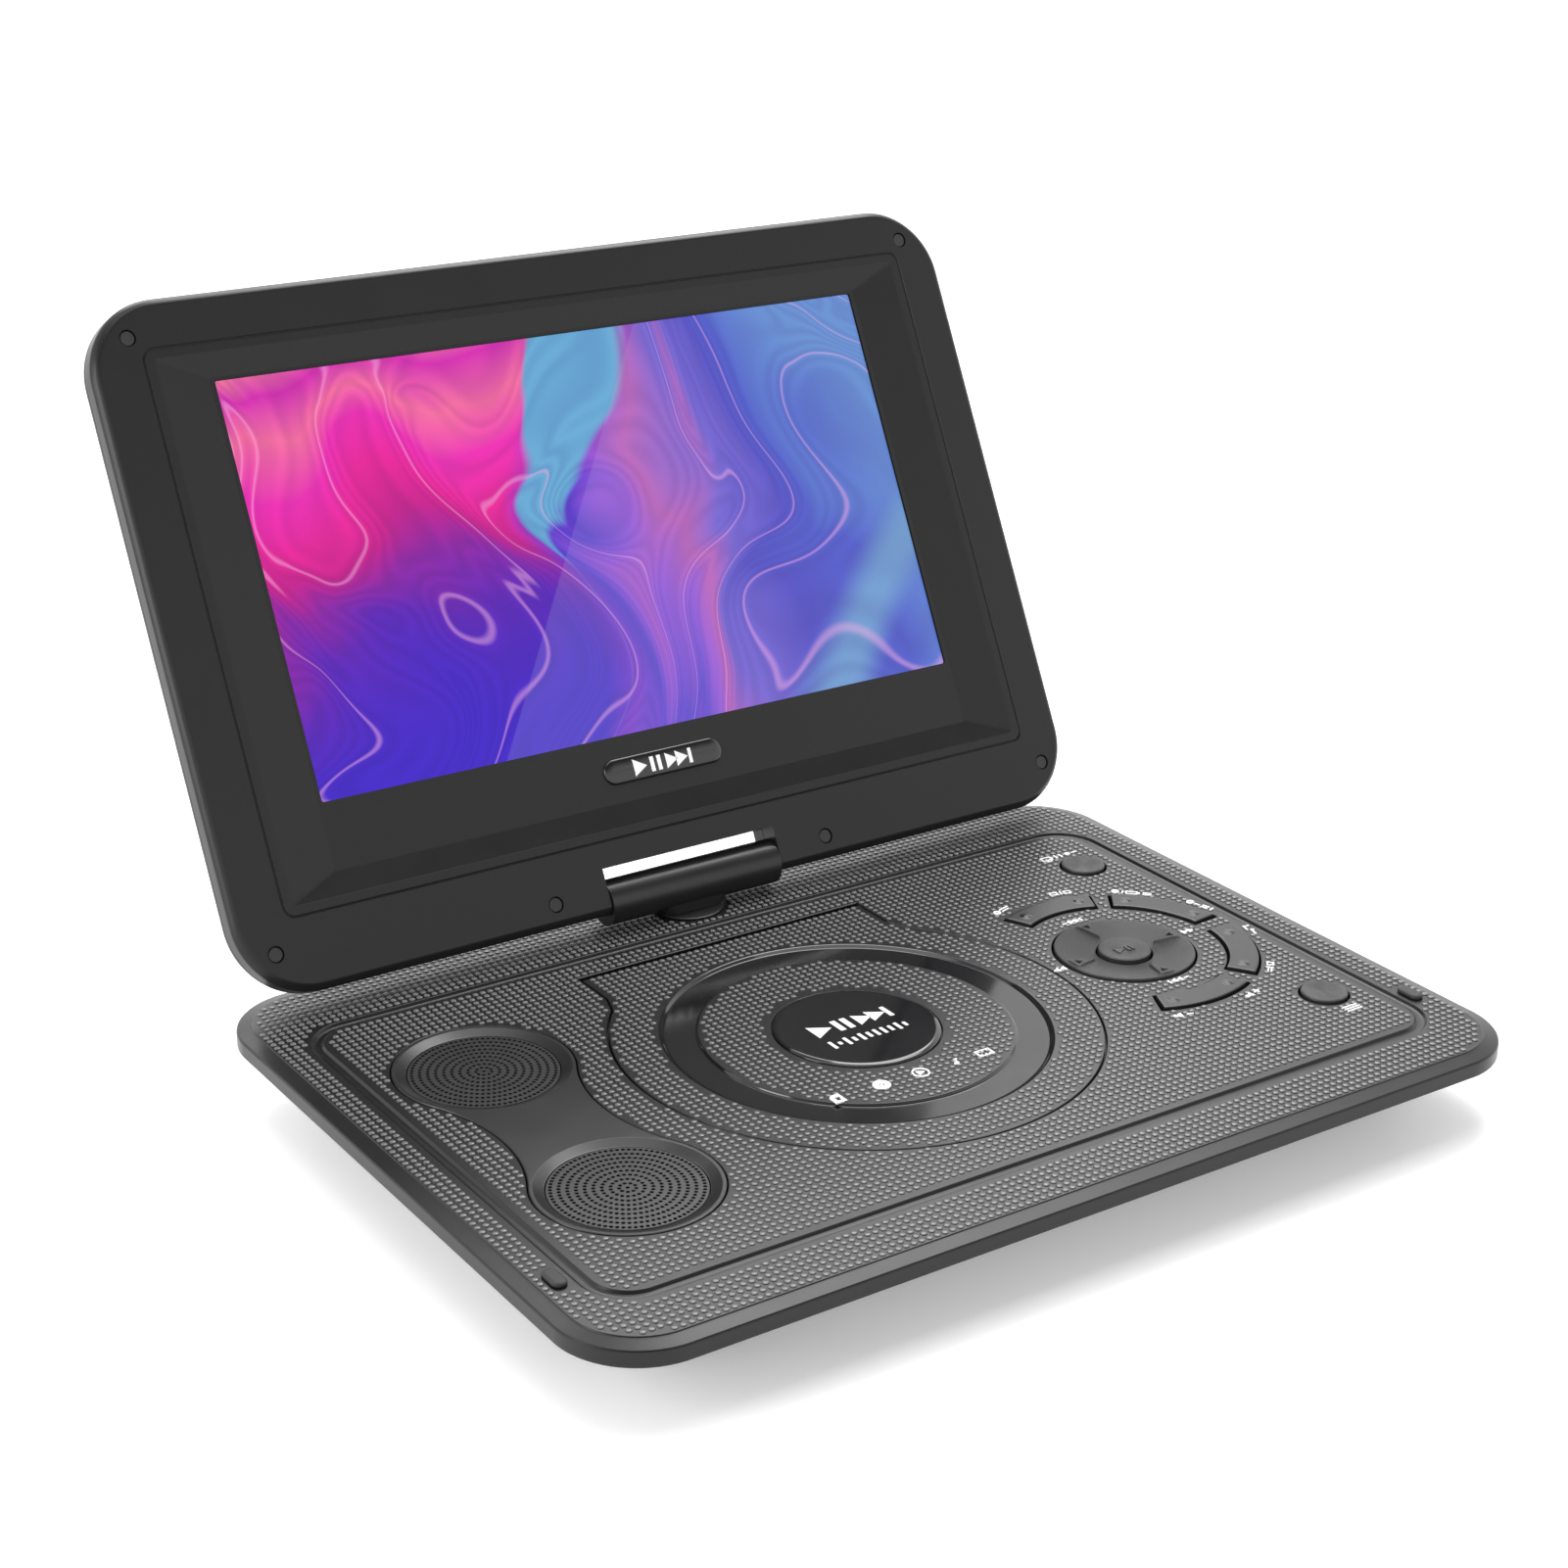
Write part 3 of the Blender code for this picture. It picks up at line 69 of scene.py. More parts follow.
class Shade:
    """One output of a material's or the sky's nodes.  Arithmetic on it adds Math nodes."""

    def __init__(self, tree, socket):
        self.tree = tree
        self.socket = socket

    def node(self, kind, settings, values, output=0):
        """Adds a node of a kind: its settings come first, then its inputs, as values or links."""
        made = self.tree.nodes.new("ShaderNode" + kind)
        for name, value in settings.items():
            if name == "stops":
                ramp = made.color_ramp.elements
                while len(ramp) < len(value):
                    ramp.new(1.0)
                for stop, (place, colour) in zip(ramp, value):
                    stop.position = place
                    stop.color = (*colour, 1)
            else:
                setattr(made, name, value)
        for name, value in values.items():
            if isinstance(value, Shade):
                self.tree.links.new(value.socket, made.inputs[name])
            else:
                made.inputs[name].default_value = value
        return Shade(self.tree, made.outputs[output])

    def math(self, operation, *others):
        """A Math node that takes this value first."""
        return self.node("Math", {"operation": operation}, dict(enumerate((self, *others))))

    def __add__(self, other):
        return self.math("ADD", other)

    def __sub__(self, other):
        return self.math("SUBTRACT", other)

    def __rsub__(self, other):
        return self.node("Math", {"operation": "SUBTRACT"}, {0: other, 1: self})

    def __mul__(self, other):
        return self.math("MULTIPLY", other)

    __radd__ = __add__
    __rmul__ = __mul__

    def between(self, low, high):
        """0 below low, 1 above high and a smooth step in between."""
        return self.node("MapRange", {"interpolation_type": "SMOOTHSTEP"},
                         {"Value": self, "From Min": low, "From Max": high})

    def noise(self, scale, detail=2.0, roughness=0.5):
        """Fractal noise at this position, from 0 to 1, with scale in features per metre."""
        return self.node("TexNoise", {}, {"Vector": self, "Scale": scale, "Detail": detail,
                                          "Roughness": roughness}, "Fac")

    def axes(self):
        """The three parts of a vector."""
        parts = self.node("SeparateXYZ", {}, {"Vector": self})
        return [Shade(self.tree, parts.socket.node.outputs[k]) for k in range(3)]

    def blend(self, low, high):
        """A colour between two colours, with this as the share of the second."""
        return self.node("Mix", {"data_type": "RGBA"}, {0: self, 6: colour_of(low), 7: colour_of(high)}, 2)

    def bump(self, depth, strength=1.0):
        """A normal from this height, with depth in metres."""
        return self.node("Bump", {}, {"Height": self, "Distance": depth, "Strength": strength}, "Normal")


def colour_of(value):
    """A colour with its alpha, or a link left as it is."""
    return value if isinstance(value, Shade) else (*value, 1)


sky_tree = sky.node_tree
_, ahead_y, ahead_z = Shade(sky_tree, sky_tree.nodes.new("ShaderNodeTexCoord").outputs["Generated"]).axes()
HORIZON = 1.7
OVERHEAD = 0.8
BEHIND_VIEW = 0.14
dim = ahead_y.between(0.25, -0.45) * (BEHIND_VIEW - OVERHEAD) + OVERHEAD
level = ahead_z.between(0.40, 0.80) * (dim - HORIZON) + HORIZON
backdrop = sky_tree.nodes["Background"]
sky_tree.links.new(level.socket, backdrop.inputs["Strength"])
backdrop.inputs["Color"].default_value = (1, 1, 1, 1)


def soft_box(name, place, aim, width, height, watts):
    """A rectangular area light at a place, turned towards a point."""
    lamp = bpy.data.lights.new(name, "AREA")
    lamp.shape = "RECTANGLE"
    lamp.size = width
    lamp.size_y = height
    lamp.energy = watts
    holder = bpy.data.objects.new(name, lamp)
    holder.location = place
    towards = np.subtract(aim, place)
    pan = np.arctan2(-towards[0], towards[1])
    tilt = np.arctan2(np.hypot(towards[0], towards[1]), -towards[2])
    holder.rotation_euler = (tilt, 0, pan)
    bpy.context.scene.collection.objects.link(holder)


soft_box("left_box", (-1.3, 0.1, 0.55), (0, 0, 0.05), 0.5, 0.8, 9)
soft_box("table_box", (0.2, 0.2, 1.9), (0.2, 0.2, 0.0), 1.6, 1.2, 12)
soft_box("high_box", (0.8, 0.62, 1.5), (0.0, 0.0, 0.05), 0.9, 0.6, 13)
soft_box("rear_box", (1.2, 2.4, 2.2), (1.0, 1.9, 0.0), 2.4, 1.2, 50)


# ---- shared helpers: finishes, outlines and meshes ----
def finish_material(name):
    """A new material, its Principled shader and its object coordinates."""
    made = bpy.data.materials.new(name)
    made.use_nodes = True
    tree = made.node_tree
    here = Shade(tree, tree.nodes.new("ShaderNodeTexCoord").outputs["Object"])
    return made, tree.nodes["Principled BSDF"], here


def feed(shader, **values):
    """Sets or links the shader's inputs; an underscore in a keyword stands for a space."""
    for key, value in values.items():
        name = key.replace("_", " ")
        if isinstance(value, Shade):
            value.tree.links.new(value.socket, shader.inputs[name])
        elif name.endswith("Color"):
            shader.inputs[name].default_value = (*value, 1)
        else:
            shader.inputs[name].default_value = value


def moulded(name, colour, roughness, grain=0.000012, shine=0.5):
    """Spark-eroded plastic: fine noise in the bump, and slow cloudy changes in gloss and tone."""
    made, shader, here = finish_material(name)
    cloud = here.noise(60, 3)
    fine = here.noise(5200, 2)
    feed(shader,
         Base_Color=(cloud * 0.6 + fine * 0.4).blend([0.86 * c for c in colour], [1.16 * c for c in colour]),
         Roughness=cloud * 0.1 + (roughness - 0.05),
         Normal=fine.bump(grain),
         Specular_IOR_Level=shine)
    return made


def box_mm(node):
    """A CAD node's lowest and highest corners in millimetres."""
    low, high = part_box(node)
    return np.array(low) * 1000, np.array(high) * 1000


def middle_mm(node):
    """The middle of a CAD node's box in millimetres."""
    low, high = box_mm(node)
    return (low + high) / 2


def on_circle(turn):
    """(cos t, sin t) for each angle t."""
    return np.stack([np.cos(turn), np.sin(turn)], -1)


def round_rectangle(half_x, half_y, radius, centre=(0.0, 0.0), steps=16):
    """Corner centres plus radius times (cos t, sin t), with t running through each quarter."""
    turn = (np.arange(4)[:, None] + np.linspace(0, 1, steps)) * np.pi / 2
    side = np.array([[1, 1], [-1, 1], [-1, -1], [1, -1]])[:, None]
    corner = side * (np.array([half_x, half_y]) - radius)
    return (corner + radius * on_circle(turn)).reshape(-1, 2) + centre


def ring_of(radius, centre=(0.0, 0.0), sides=96, start=0.0):
    """The centre plus radius times (cos t, sin t) for a full turn."""
    turn = start + np.arange(sides) / sides * 2 * np.pi
    return radius * on_circle(turn) + centre


def outward(outline, distance):
    """Moves a closed anticlockwise outline out: each corner goes along the sum of its two edges'
    normals, made long enough that both edges move by the distance."""
    along = np.roll(outline, -1, 0) - outline
    along = along / np.linalg.norm(along, axis=1, keepdims=True)
    normal = np.stack([along[:, 1], -along[:, 0]], 1)
    mitre = normal + np.roll(normal, 1, 0)
    return outline + distance * mitre / (mitre * normal).sum(1, keepdims=True)


def swept(outline, profile):
    """Rings of an outline, one for each (out, up) pair of the profile."""
    return np.array([np.column_stack([outward(outline, out), np.full(len(outline), up)])
                     for out, up in profile])


def skin(rows, ends="open"):
    """A part from rows of points that each close on themselves.  Neighbouring rows are joined by
    quads; ends is open, caps for a flat face on both end rows, first or last for one of them, or
    ring to join the last row to the first."""
    rows = np.asarray(rows, float)
    count = rows.shape[1]
    wraps = len(rows) if ends == "ring" else len(rows) - 1
    a = np.arange(wraps)[:, None] * count + np.arange(count)
    b = np.arange(wraps)[:, None] * count + (np.arange(count) + 1) % count
    total = len(rows) * count
    faces = np.stack([a, b, (b + count) % total, (a + count) % total], -1).reshape(-1, 4).tolist()
    if ends in ("caps", "first"):
        faces.append(list(range(count))[::-1])
    if ends in ("caps", "last"):
        faces.append(list(range(total - count, total)))
    return rows.reshape(-1, 3), faces


def inside(points, outlines):
    """Even-odd rule: a point is inside when the ray from it towards +X crosses an odd number of
    edges."""
    a = np.concatenate(outlines)
    b = np.concatenate([np.roll(outline, -1, 0) for outline in outlines])
    x = points[:, :1]
    y = points[:, 1:2]
    crosses = (a[:, 1] > y) != (b[:, 1] > y)
    rise = np.where(b[:, 1] == a[:, 1], 1.0, b[:, 1] - a[:, 1])
    at = a[:, 0] + (y - a[:, 1]) * (b[:, 0] - a[:, 0]) / rise
    return (crosses & (x < at)).sum(1) % 2 == 1


def plate(outlines, up):
    """A flat sheet between outlines, the first outside and the rest holes: the Delaunay triangles
    of all their corners, less those whose middle the even-odd rule puts outside."""
    points = np.concatenate(outlines)
    first = np.cumsum([0] + [len(outline) for outline in outlines[:-1]])
    edges = np.concatenate([start + np.stack([np.arange(len(o)), (np.arange(len(o)) + 1) % len(o)], 1)
                            for start, o in zip(first, outlines)])
    found, _, faces, *_ = delaunay_2d_cdt(points.tolist(), edges.tolist(), [], 0, 1e-7)
    found = np.array([(p.x, p.y) for p in found])
    faces = np.array(faces)
    faces = faces[inside(found[faces].mean(1), outlines)]
    return np.column_stack([found, np.full(len(found), up)]), faces.tolist()


def piece(name, parts, body, finish, stands_for=(), sharp=25, weld=True):
    """Makes one piece of several parts whose points are in millimetres.  Points closer than 2
    micrometres are merged, and the faces are turned outwards."""
    start = np.cumsum([0] + [len(points) for points, _ in parts])
    mesh = bpy.data.meshes.new(name)
    mesh.from_pydata((np.concatenate([points for points, _ in parts]) / 1000).tolist(), [],
                     [[k + first for k in face] for first,
                      (_, faces) in zip(start.tolist(), parts) for face in faces])
    if weld:
        shell = bmesh.new()
        shell.from_mesh(mesh)
        bmesh.ops.remove_doubles(shell, verts=shell.verts, dist=2e-6)
        bmesh.ops.recalc_face_normals(shell, faces=shell.faces)
        shell.to_mesh(mesh)
        shell.free()
    mesh.shade_smooth()
    mesh.set_sharp_from_angle(angle=radians(sharp))
    mesh.materials.append(finish)
    made = bpy.data.objects.new(name, mesh)
    bpy.context.scene.collection.objects.link(made)
    if weld:
        steady = made.modifiers.new("wide_faces_stay_flat", "WEIGHTED_NORMAL")
        steady.keep_sharp = True
    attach(made, body)
    if stands_for:
        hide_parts(*stands_for)
    return made


# ---- deck cover: deck, framing groove and sloped rim ----
# One injection moulding in charcoal ABS.  A shallow groove frames the panel, and the openings
# for the door, the speakers and the keys have small rounded lips.
CHARCOAL = moulded("charcoal_moulding", (0.008, 0.008, 0.0085), 0.31, shine=0.28)

RIM_WIDTH = 4.8
RIM_DROP = 1.2
RIM_SIDE = 5.0
WALL = 2.0
DECK_CORNER = 20.0
LIP = 0.3

cover_low, cover_high = box_mm("base_top_cover")
DECK = cover_high[2]
UNDER = DECK - WALL
HALF_X = cover_high[0] - RIM_WIDTH
HALF_Y = (cover_high[1] - cover_low[1]) / 2 - RIM_WIDTH
MID = (0.0, (cover_high[1] + cover_low[1]) / 2)
deck_edge = round_rectangle(HALF_X, HALF_Y, DECK_CORNER, MID, 28)

GROOVE_SIDE = 11.1
GROOVE_FRONT = 18.5
GROOVE_REAR = 26.0
GROOVE_HALF = 2.0
GROOVE_DEPTH = 1.0
groove_half_y = HALF_Y - (GROOVE_FRONT + GROOVE_REAR) / 2
groove_line = round_rectangle(HALF_X - GROOVE_SIDE, groove_half_y, 13.0,
                              (0.0, MID[1] + (GROOVE_FRONT - GROOVE_REAR) / 2), 24)
GROOVE = [(GROOVE_HALF, 0.0), (1.85, -0.06), (1.55, -0.42), (1.15, -0.8), (0.6, -0.97), (0.0, -GROOVE_DEPTH),
          (-0.6, -0.97), (-1.15, -0.8), (-1.55, -0.42), (-1.85, -0.06), (-GROOVE_HALF, 0.0)]

DOOR = middle_mm("turntable_hub")[:2]
DOOR_R = 73.1
DOOR_GAP = 0.45
TAB_HALF = 51.7
TAB_REACH = 71.3
TAB_CLEAR = 2.0


def door_outline(out=0.0, rear=0.0):
    """A circle about the hub, whose rear arc gives way to a square tab: first the arc, from the
    tab's left foot round the front to its right foot, then the tab's four corners."""
    half = TAB_HALF + out
    foot = np.pi - np.arccos(half / (DOOR_R + out)) + radians(3)
    turn = np.linspace(foot, 3 * np.pi - foot, 150)
    arc = (DOOR_R + out) * on_circle(turn)
    shoulder = 0.77 * DOOR_R
    edge = TAB_REACH + rear
    tab = np.array([(half, shoulder), (half, edge), (-half, edge), (-half, shoulder)])
    return np.concatenate([arc, tab]) + DOOR


FRONT_SPEAKER = middle_mm("speaker_grille_front")[:2]
REAR_SPEAKER = middle_mm("speaker_grille_rear")[:2]
SPEAKERS = (FRONT_SPEAKER, REAR_SPEAKER)
TRIM_R = 26.4
TRIM_WAIST = 16.3


def trim_outline(out=0.0):
    """Two discs joined by a waist: an arc of each disc's circle, and between them the arcs of two
    outer circles that touch both discs and come within the waist's half width of the middle."""
    half = (REAR_SPEAKER[1] - FRONT_SPEAKER[1]) / 2
    hollow = (TRIM_WAIST ** 2 + half ** 2 - TRIM_R ** 2) / (2 * (TRIM_R - TRIM_WAIST))
    lean = np.arctan2(half, TRIM_WAIST + hollow)
    turn = np.linspace(-lean, np.pi + lean, 56)
    rear = (TRIM_R + out) * on_circle(turn) + (0, half)
    bend = np.linspace(lean, -lean, 30)[1:-1]
    left = (hollow - out) * on_circle(bend) - (TRIM_WAIST + hollow, 0)
    outline = np.concatenate([rear, left, -rear, -left])
    return outline + (FRONT_SPEAKER + REAR_SPEAKER) / 2


PAD = middle_mm("direction_pad")[:2]
PAD_R = 22.1
KEY_GAP = 0.6
ARC_IN = 32.6
ARC_OUT = 41.8
ARCS = {"arc_key_rear": (66, 114), "arc_key_upper": (6, 56),
        "arc_key_lower": (-56, -6), "arc_key_front": (-114, -66)}


def sector(start, end, out=0.0):
    """A piece of a ring about the pad: the outer arc one way and the inner arc back, each moved
    out by a gap, with the ends turned on by the angle that the gap is at the inner arc."""
    spare = out / ARC_IN
    turn = np.linspace(radians(start) - spare, radians(end) + spare, 26)
    unit = on_circle(turn)
    return np.concatenate([(ARC_OUT + out) * unit, (ARC_IN - out) * unit[::-1]]) + PAD


BUTTON_R = 7.2
MENU = middle_mm("menu_button")[:2]
SCREEN_KEY = middle_mm("screen_button")[:2]
SWIVEL = middle_mm("swivel_turntable")[:2]
POST_R = 8.7

openings = [door_outline(DOOR_GAP, TAB_CLEAR), trim_outline(0.3), ring_of(PAD_R + KEY_GAP, PAD),
            ring_of(BUTTON_R + KEY_GAP, MENU, 64), ring_of(BUTTON_R + KEY_GAP, SCREEN_KEY, 64)]
openings += [sector(*span, KEY_GAP) for span in ARCS.values()]
post_hole = ring_of(POST_R, SWIVEL, 64)
panel_edge = outward(groove_line, -GROOVE_HALF)
border_edge = outward(groove_line, GROOVE_HALF)
brow = DECK - RIM_DROP
brim = brow - RIM_SIDE
rim = [(RIM_WIDTH - WALL, UNDER), (RIM_WIDTH - WALL, brim), (RIM_WIDTH - 0.5, brim),
       (RIM_WIDTH - 0.15, brim + 0.15), (RIM_WIDTH, brim + 0.5), (RIM_WIDTH, brow - 0.75),
       (RIM_WIDTH - 0.12, brow - 0.36), (RIM_WIDTH - 0.4, brow - 0.08), (RIM_WIDTH - 0.8, brow + 0.04),
       (0.9, DECK - 0.5), (0.25, DECK - 0.3), (0.1, DECK - 0.1), (0.0, DECK)]
lips = [(LIP, 0.0), (0.1, -0.08), (0.0, -0.3)]
cover_parts = [
    skin(swept(deck_edge, rim)),
    plate([deck_edge, border_edge, outward(post_hole, LIP)], DECK),
    skin(swept(groove_line, [(out, DECK + up) for out, up in GROOVE])),
    plate([panel_edge] + [outward(hole, LIP) for hole in openings], DECK),
    plate([outward(deck_edge, RIM_WIDTH - WALL)] + openings + [post_hole], UNDER),
]
cover_parts += [skin(swept(hole, [(out, DECK + up) for out, up in lips] + [(0.0, UNDER)]))
                for hole in openings + [post_hole]]
piece("deck_cover", cover_parts, "base", CHARCOAL, ["base_top_cover"], sharp=12)


# ---- studs: the raised dot texture of the deck and the door ----
# The mould is engraved with a square pattern of small domes, 2.5 mm apart, so each stud is part
# of the moulding.  The smooth margins beside lips and grooves carry none.
STUD_PITCH = 2.5
STUD_R = 1.04
STUD_HEIGHT = 0.34
STUD_PROFILE = [(0.0, -0.04), (-0.04, 0.1), (-0.22, 0.25), (-0.55, STUD_HEIGHT)]


def stud_material(name, valley, crest):
    """Charcoal plastic with painted light: it pales from a stud's foot to its crest, painted shade in the
    valleys and painted highlight on the crests, with a fine grain.
    """
    made, shader, here = finish_material(name)
    x, y, z = here.axes()
    # painted light: darker low down between the studs, paler towards their crests
    painted_light_share = z.between((DECK + 0.02) / 1000, (DECK + STUD_HEIGHT) / 1000)
    cloud = here.noise(60, 3)
    feed(shader,
         Base_Color=painted_light_share.blend(valley, crest),
         Roughness=cloud * 0.08 + 0.22,
         Normal=here.noise(4000, 2).bump(0.00001))
    return made


def studs(name, region, holes, body, finish):
    """A dome of four eight-sided rings at every node of the square grid that lies in the region
    and outside the holes."""
    low = np.floor(region.min(0) / STUD_PITCH)
    high = np.ceil(region.max(0) / STUD_PITCH)
    x, y = np.meshgrid(np.arange(low[0], high[0]), np.arange(low[1], high[1]))
    places = (np.stack([x.ravel(), y.ravel()], -1) + 0.5) * STUD_PITCH
    places = places[inside(places, [outward(region, -STUD_R - 0.1)])]
    for hole in holes:
        places = places[~inside(places, [outward(hole, STUD_R + 0.1)])]
    rings = np.array([np.column_stack([ring_of(STUD_R + out, sides=8, start=np.pi / 8),
                                       np.full(8, DECK + up)]) for out, up in STUD_PROFILE])
    dome, faces = skin(rings, "caps")
    points = (dome[None] + np.column_stack([places, np.zeros(len(places))])[:, None]).reshape(-1, 3)
    shifts = np.arange(len(places)) * len(dome)
    every = [[k + s for k in face] for s in shifts.tolist() for face in faces]
    piece(name, [(points, every)], body, finish, sharp=60, weld=False)


# Near-black valleys and pale crests: painted shade and painted highlight on every stud.
STUDDED = stud_material("studded_charcoal", (0.003, 0.003, 0.0035), (0.120, 0.120, 0.122))
turntable_room = ring_of(12.0, SWIVEL, 48)
pads = [round_rectangle(2.6, 4.8, 2.4, middle_mm("deck_pad_" + side)[:2], 6) for side in ("left", "right")]
studs("border_studs", deck_edge, [border_edge, turntable_room] + pads, "base", STUDDED)
studs("panel_studs", panel_edge, openings, "base", STUDDED)

# ---- feet, tub and sockets ----
# The boat-shaped lower cover carries the battery and the boards.  It is moulded in the same
# charcoal plastic, and stands on four glued rubber feet.
RUBBER = moulded("soft_rubber", (0.014, 0.014, 0.015), 0.62, grain=0.00003)
MOULDED_BLACK = moulded("black_moulding", (0.018, 0.018, 0.019), 0.45)


def smoothed(node, body, finish, sharp=30):
    """A copy of a CAD node's mesh with its loose triangles merged and its round sides smooth."""
    source = frame["nodes"][node].data
    points = np.zeros(len(source.vertices) * 3)
    source.vertices.foreach_get("co", points)
    faces = [list(polygon.vertices) for polygon in source.polygons]
    return piece(node + "_smooth", [(points.reshape(-1, 3) * 1000, faces)], body, finish, [node], sharp)


smoothed("base_bottom_cover", "base", CHARCOAL)
for end in ("front", "rear"):
    for side in ("left", "right"):
        smoothed("foot_%s_%s" % (end, side), "base", RUBBER)
for side in ("left", "right"):
    low, high = box_mm("deck_pad_" + side)
    half = (high - low) / 2
    place = (low + high) / 2
    curve = np.linspace(0, np.pi / 2, 6)
    profile = [(0.0, low[2])] + [(1.2 * (np.cos(t) - 1), high[2] - 0.7 + 0.7 * np.sin(t)) for t in curve]
    pill = round_rectangle(half[0], half[1], half[0] - 0.05, place[:2], 10)
    piece("buffer_" + side, [skin(swept(pill, profile), "caps")], "base", RUBBER,
          ["deck_pad_" + side])

# ---- speakers: waisted trim, perforated grilles and drivers ----
# One smooth satin plate, glued into the deck, frames both grilles with dished seats.  The
# grilles are moulded discs with rings of round holes, each ring with nine more than the last.
SATIN = moulded("satin_trim", (0.014, 0.014, 0.0145), 0.30, grain=0.000006, shine=0.4)
GRILLE_BLACK = moulded("grille_plastic", (0.022, 0.022, 0.0225), 0.38, shine=0.35)
GRILLE_R = 21.9
SEAT_R = GRILLE_R + 3.4
FLOOR_R = GRILLE_R + 0.3
HOLE_R = 0.62
HOLE_RINGS = 9
trim_top = DECK + 0.2
trim = trim_outline()
seats = [ring_of(SEAT_R, centre) for centre in SPEAKERS]
trim_edge = [(-1.8, UNDER - 0.2), (-1.8, DECK - 0.7), (0.0, DECK - 0.7), (0.0, trim_top - 0.25),
             (-0.1, trim_top - 0.08), (-0.3, trim_top)]
seat_wall = [(0.0, trim_top), (-0.15, trim_top - 0.05), (-0.4, trim_top - 0.2), (-2.6, trim_top - 1.15),
             (-2.95, trim_top - 1.3), (FLOOR_R - SEAT_R, trim_top - 1.32),
             (FLOOR_R - SEAT_R, UNDER - 0.2)]
trim_parts = [skin(swept(trim, trim_edge)), plate([outward(trim, -0.3)] + seats, trim_top)]
trim_parts += [skin(swept(seat, seat_wall)) for seat in seats]
seat_floors = [ring_of(FLOOR_R, centre) for centre in SPEAKERS]
trim_parts.append(plate([outward(trim, -1.8)] + seat_floors, UNDER - 0.2))
piece("speaker_trim_plate", trim_parts, "base", SATIN, ["speaker_trim"], sharp=20)
for row, centre in zip(("front", "rear"), SPEAKERS):
    node = "speaker_grille_" + row
    low, high = box_mm(node)
    rim_line = ring_of(GRILLE_R, centre)
    holes = [ring_of(HOLE_R, centre, 8)]
    for ring in range(1, HOLE_RINGS + 1):
        turn = np.arange(9 * ring) / (9 * ring) * 2 * np.pi
        reach = ring * (GRILLE_R - 1.3) / HOLE_RINGS
        holes += [ring_of(HOLE_R, spot, 8) for spot in reach * on_circle(turn) + centre]
    parts = [skin(swept(rim_line, [(0.0, low[2]), (0.0, high[2] - 0.2), (-0.2, high[2])])),
             plate([outward(rim_line, -0.2)] + holes, high[2]), plate([rim_line] + holes, low[2])]
    parts += [skin(swept(hole, [(0.0, low[2]), (0.0, high[2])])) for hole in holes]
    piece(node + "_disc", parts, "base", GRILLE_BLACK, [node], sharp=20)

# ---- disc door and its emblem ----
# The door is a thin moulding with a square tab at the back, where its two lugs turn on a steel
# pin.  A polished band is sunk around the studded middle, and a gloss emblem is glued in.
BAND_IN = 47.0
BAND_OUT = 57.4
BAND_SUNK = 0.8
EMBLEM_R = 25.0
DOOR_THICK = 2.0
PIANO = moulded("piano_black", (0.008, 0.008, 0.009), 0.09, grain=0.0)
door_edge = door_outline()
band_outer = ring_of(BAND_OUT, DOOR, 160)
band_inner = ring_of(BAND_IN, DOOR, 160)
seat = ring_of(EMBLEM_R + 0.3, DOOR, 120)
emblem_seat = [(0.25, DECK), (0.08, DECK - 0.08), (0.0, DECK - 0.3), (0.0, DECK - 0.8)]
door_parts = [
    skin(swept(door_edge, [(0.0, DECK - DOOR_THICK), (0.0, DECK - 0.3), (-0.1, DECK - 0.08), (-LIP, DECK)])),
    plate([outward(door_edge, -LIP), outward(band_outer, 1.1)], DECK),
    plate([outward(band_inner, -0.2), outward(seat, 0.25)], DECK),
    skin(swept(seat, emblem_seat), "last"),
    plate([door_edge], DECK - DOOR_THICK),
]
axis = np.array(next(j for j in frame["joints"] if j["name"] == "door_hinge")["pos_m"]) * 1000
LUG_HALF = 3.0
LUG_R = 2.0


def half_lug(middle):
    """A hinge lug: a bored cheek whose round underside rises straight into the door's plate.  Its
    outline is a half circle closed by the plate's underside, and the bore is a circle."""
    turn = np.linspace(np.pi, 2 * np.pi, 17)
    shell = LUG_R * on_circle(turn) + axis[1:]
    top = DECK - DOOR_THICK + 0.2
    shell = np.concatenate([shell, [(axis[1] + LUG_R, top), (axis[1] - LUG_R, top)]])
    bore = ring_of(1.3, axis[1:], 24)
    faces = [plate([shell, bore], middle + side * LUG_HALF) for side in (-1, 1)]
    span = [(0.0, middle - LUG_HALF), (0.0, middle + LUG_HALF)]
    walls = [skin(swept(line, span)) for line in (shell, bore)]
    return [(points[:, [2, 0, 1]], quads) for points, quads in faces + walls]


lugs = half_lug(axis[0] - 0.8 * TAB_HALF) + half_lug(axis[0] + 0.8 * TAB_HALF)
piece("disc_door_plate", door_parts, "door", CHARCOAL, ["disc_door"], sharp=12)
piece("disc_door_lugs", lugs, "door", CHARCOAL, sharp=30)
outer_wall = [(1.1, 0.0), (0.9, -0.02), (0.6, -0.12), (0.2, -0.4), (-0.2, -0.68), (-0.5, -0.78),
              (-0.8, -BAND_SUNK)]
inner_wall = [(0.8, -BAND_SUNK), (0.5, -0.76), (0.25, -0.5), (0.1, -0.2), (-0.05, -0.04), (-0.2, 0.0)]
band = np.concatenate([swept(band_outer, [(out, DECK + up) for out, up in outer_wall]),
                       swept(band_inner, [(out, DECK + up) for out, up in inner_wall])])
piece("gloss_band", [skin(band)], "door", PIANO, sharp=50)
studs("door_studs", door_edge, [outward(band_outer, 1.1)], "door", STUDDED)
studs("door_inner_studs", outward(band_inner, -0.2), [outward(seat, 1.2)], "door", STUDDED)
low, high = box_mm("door_emblem")
slope = np.linspace(0, np.pi / 2, 8)
emblem = [(0.0, low[2])] + [(-1.9 * (1 - np.cos(t)), high[2] - 0.75 + 0.75 * np.sin(t)) for t in slope]
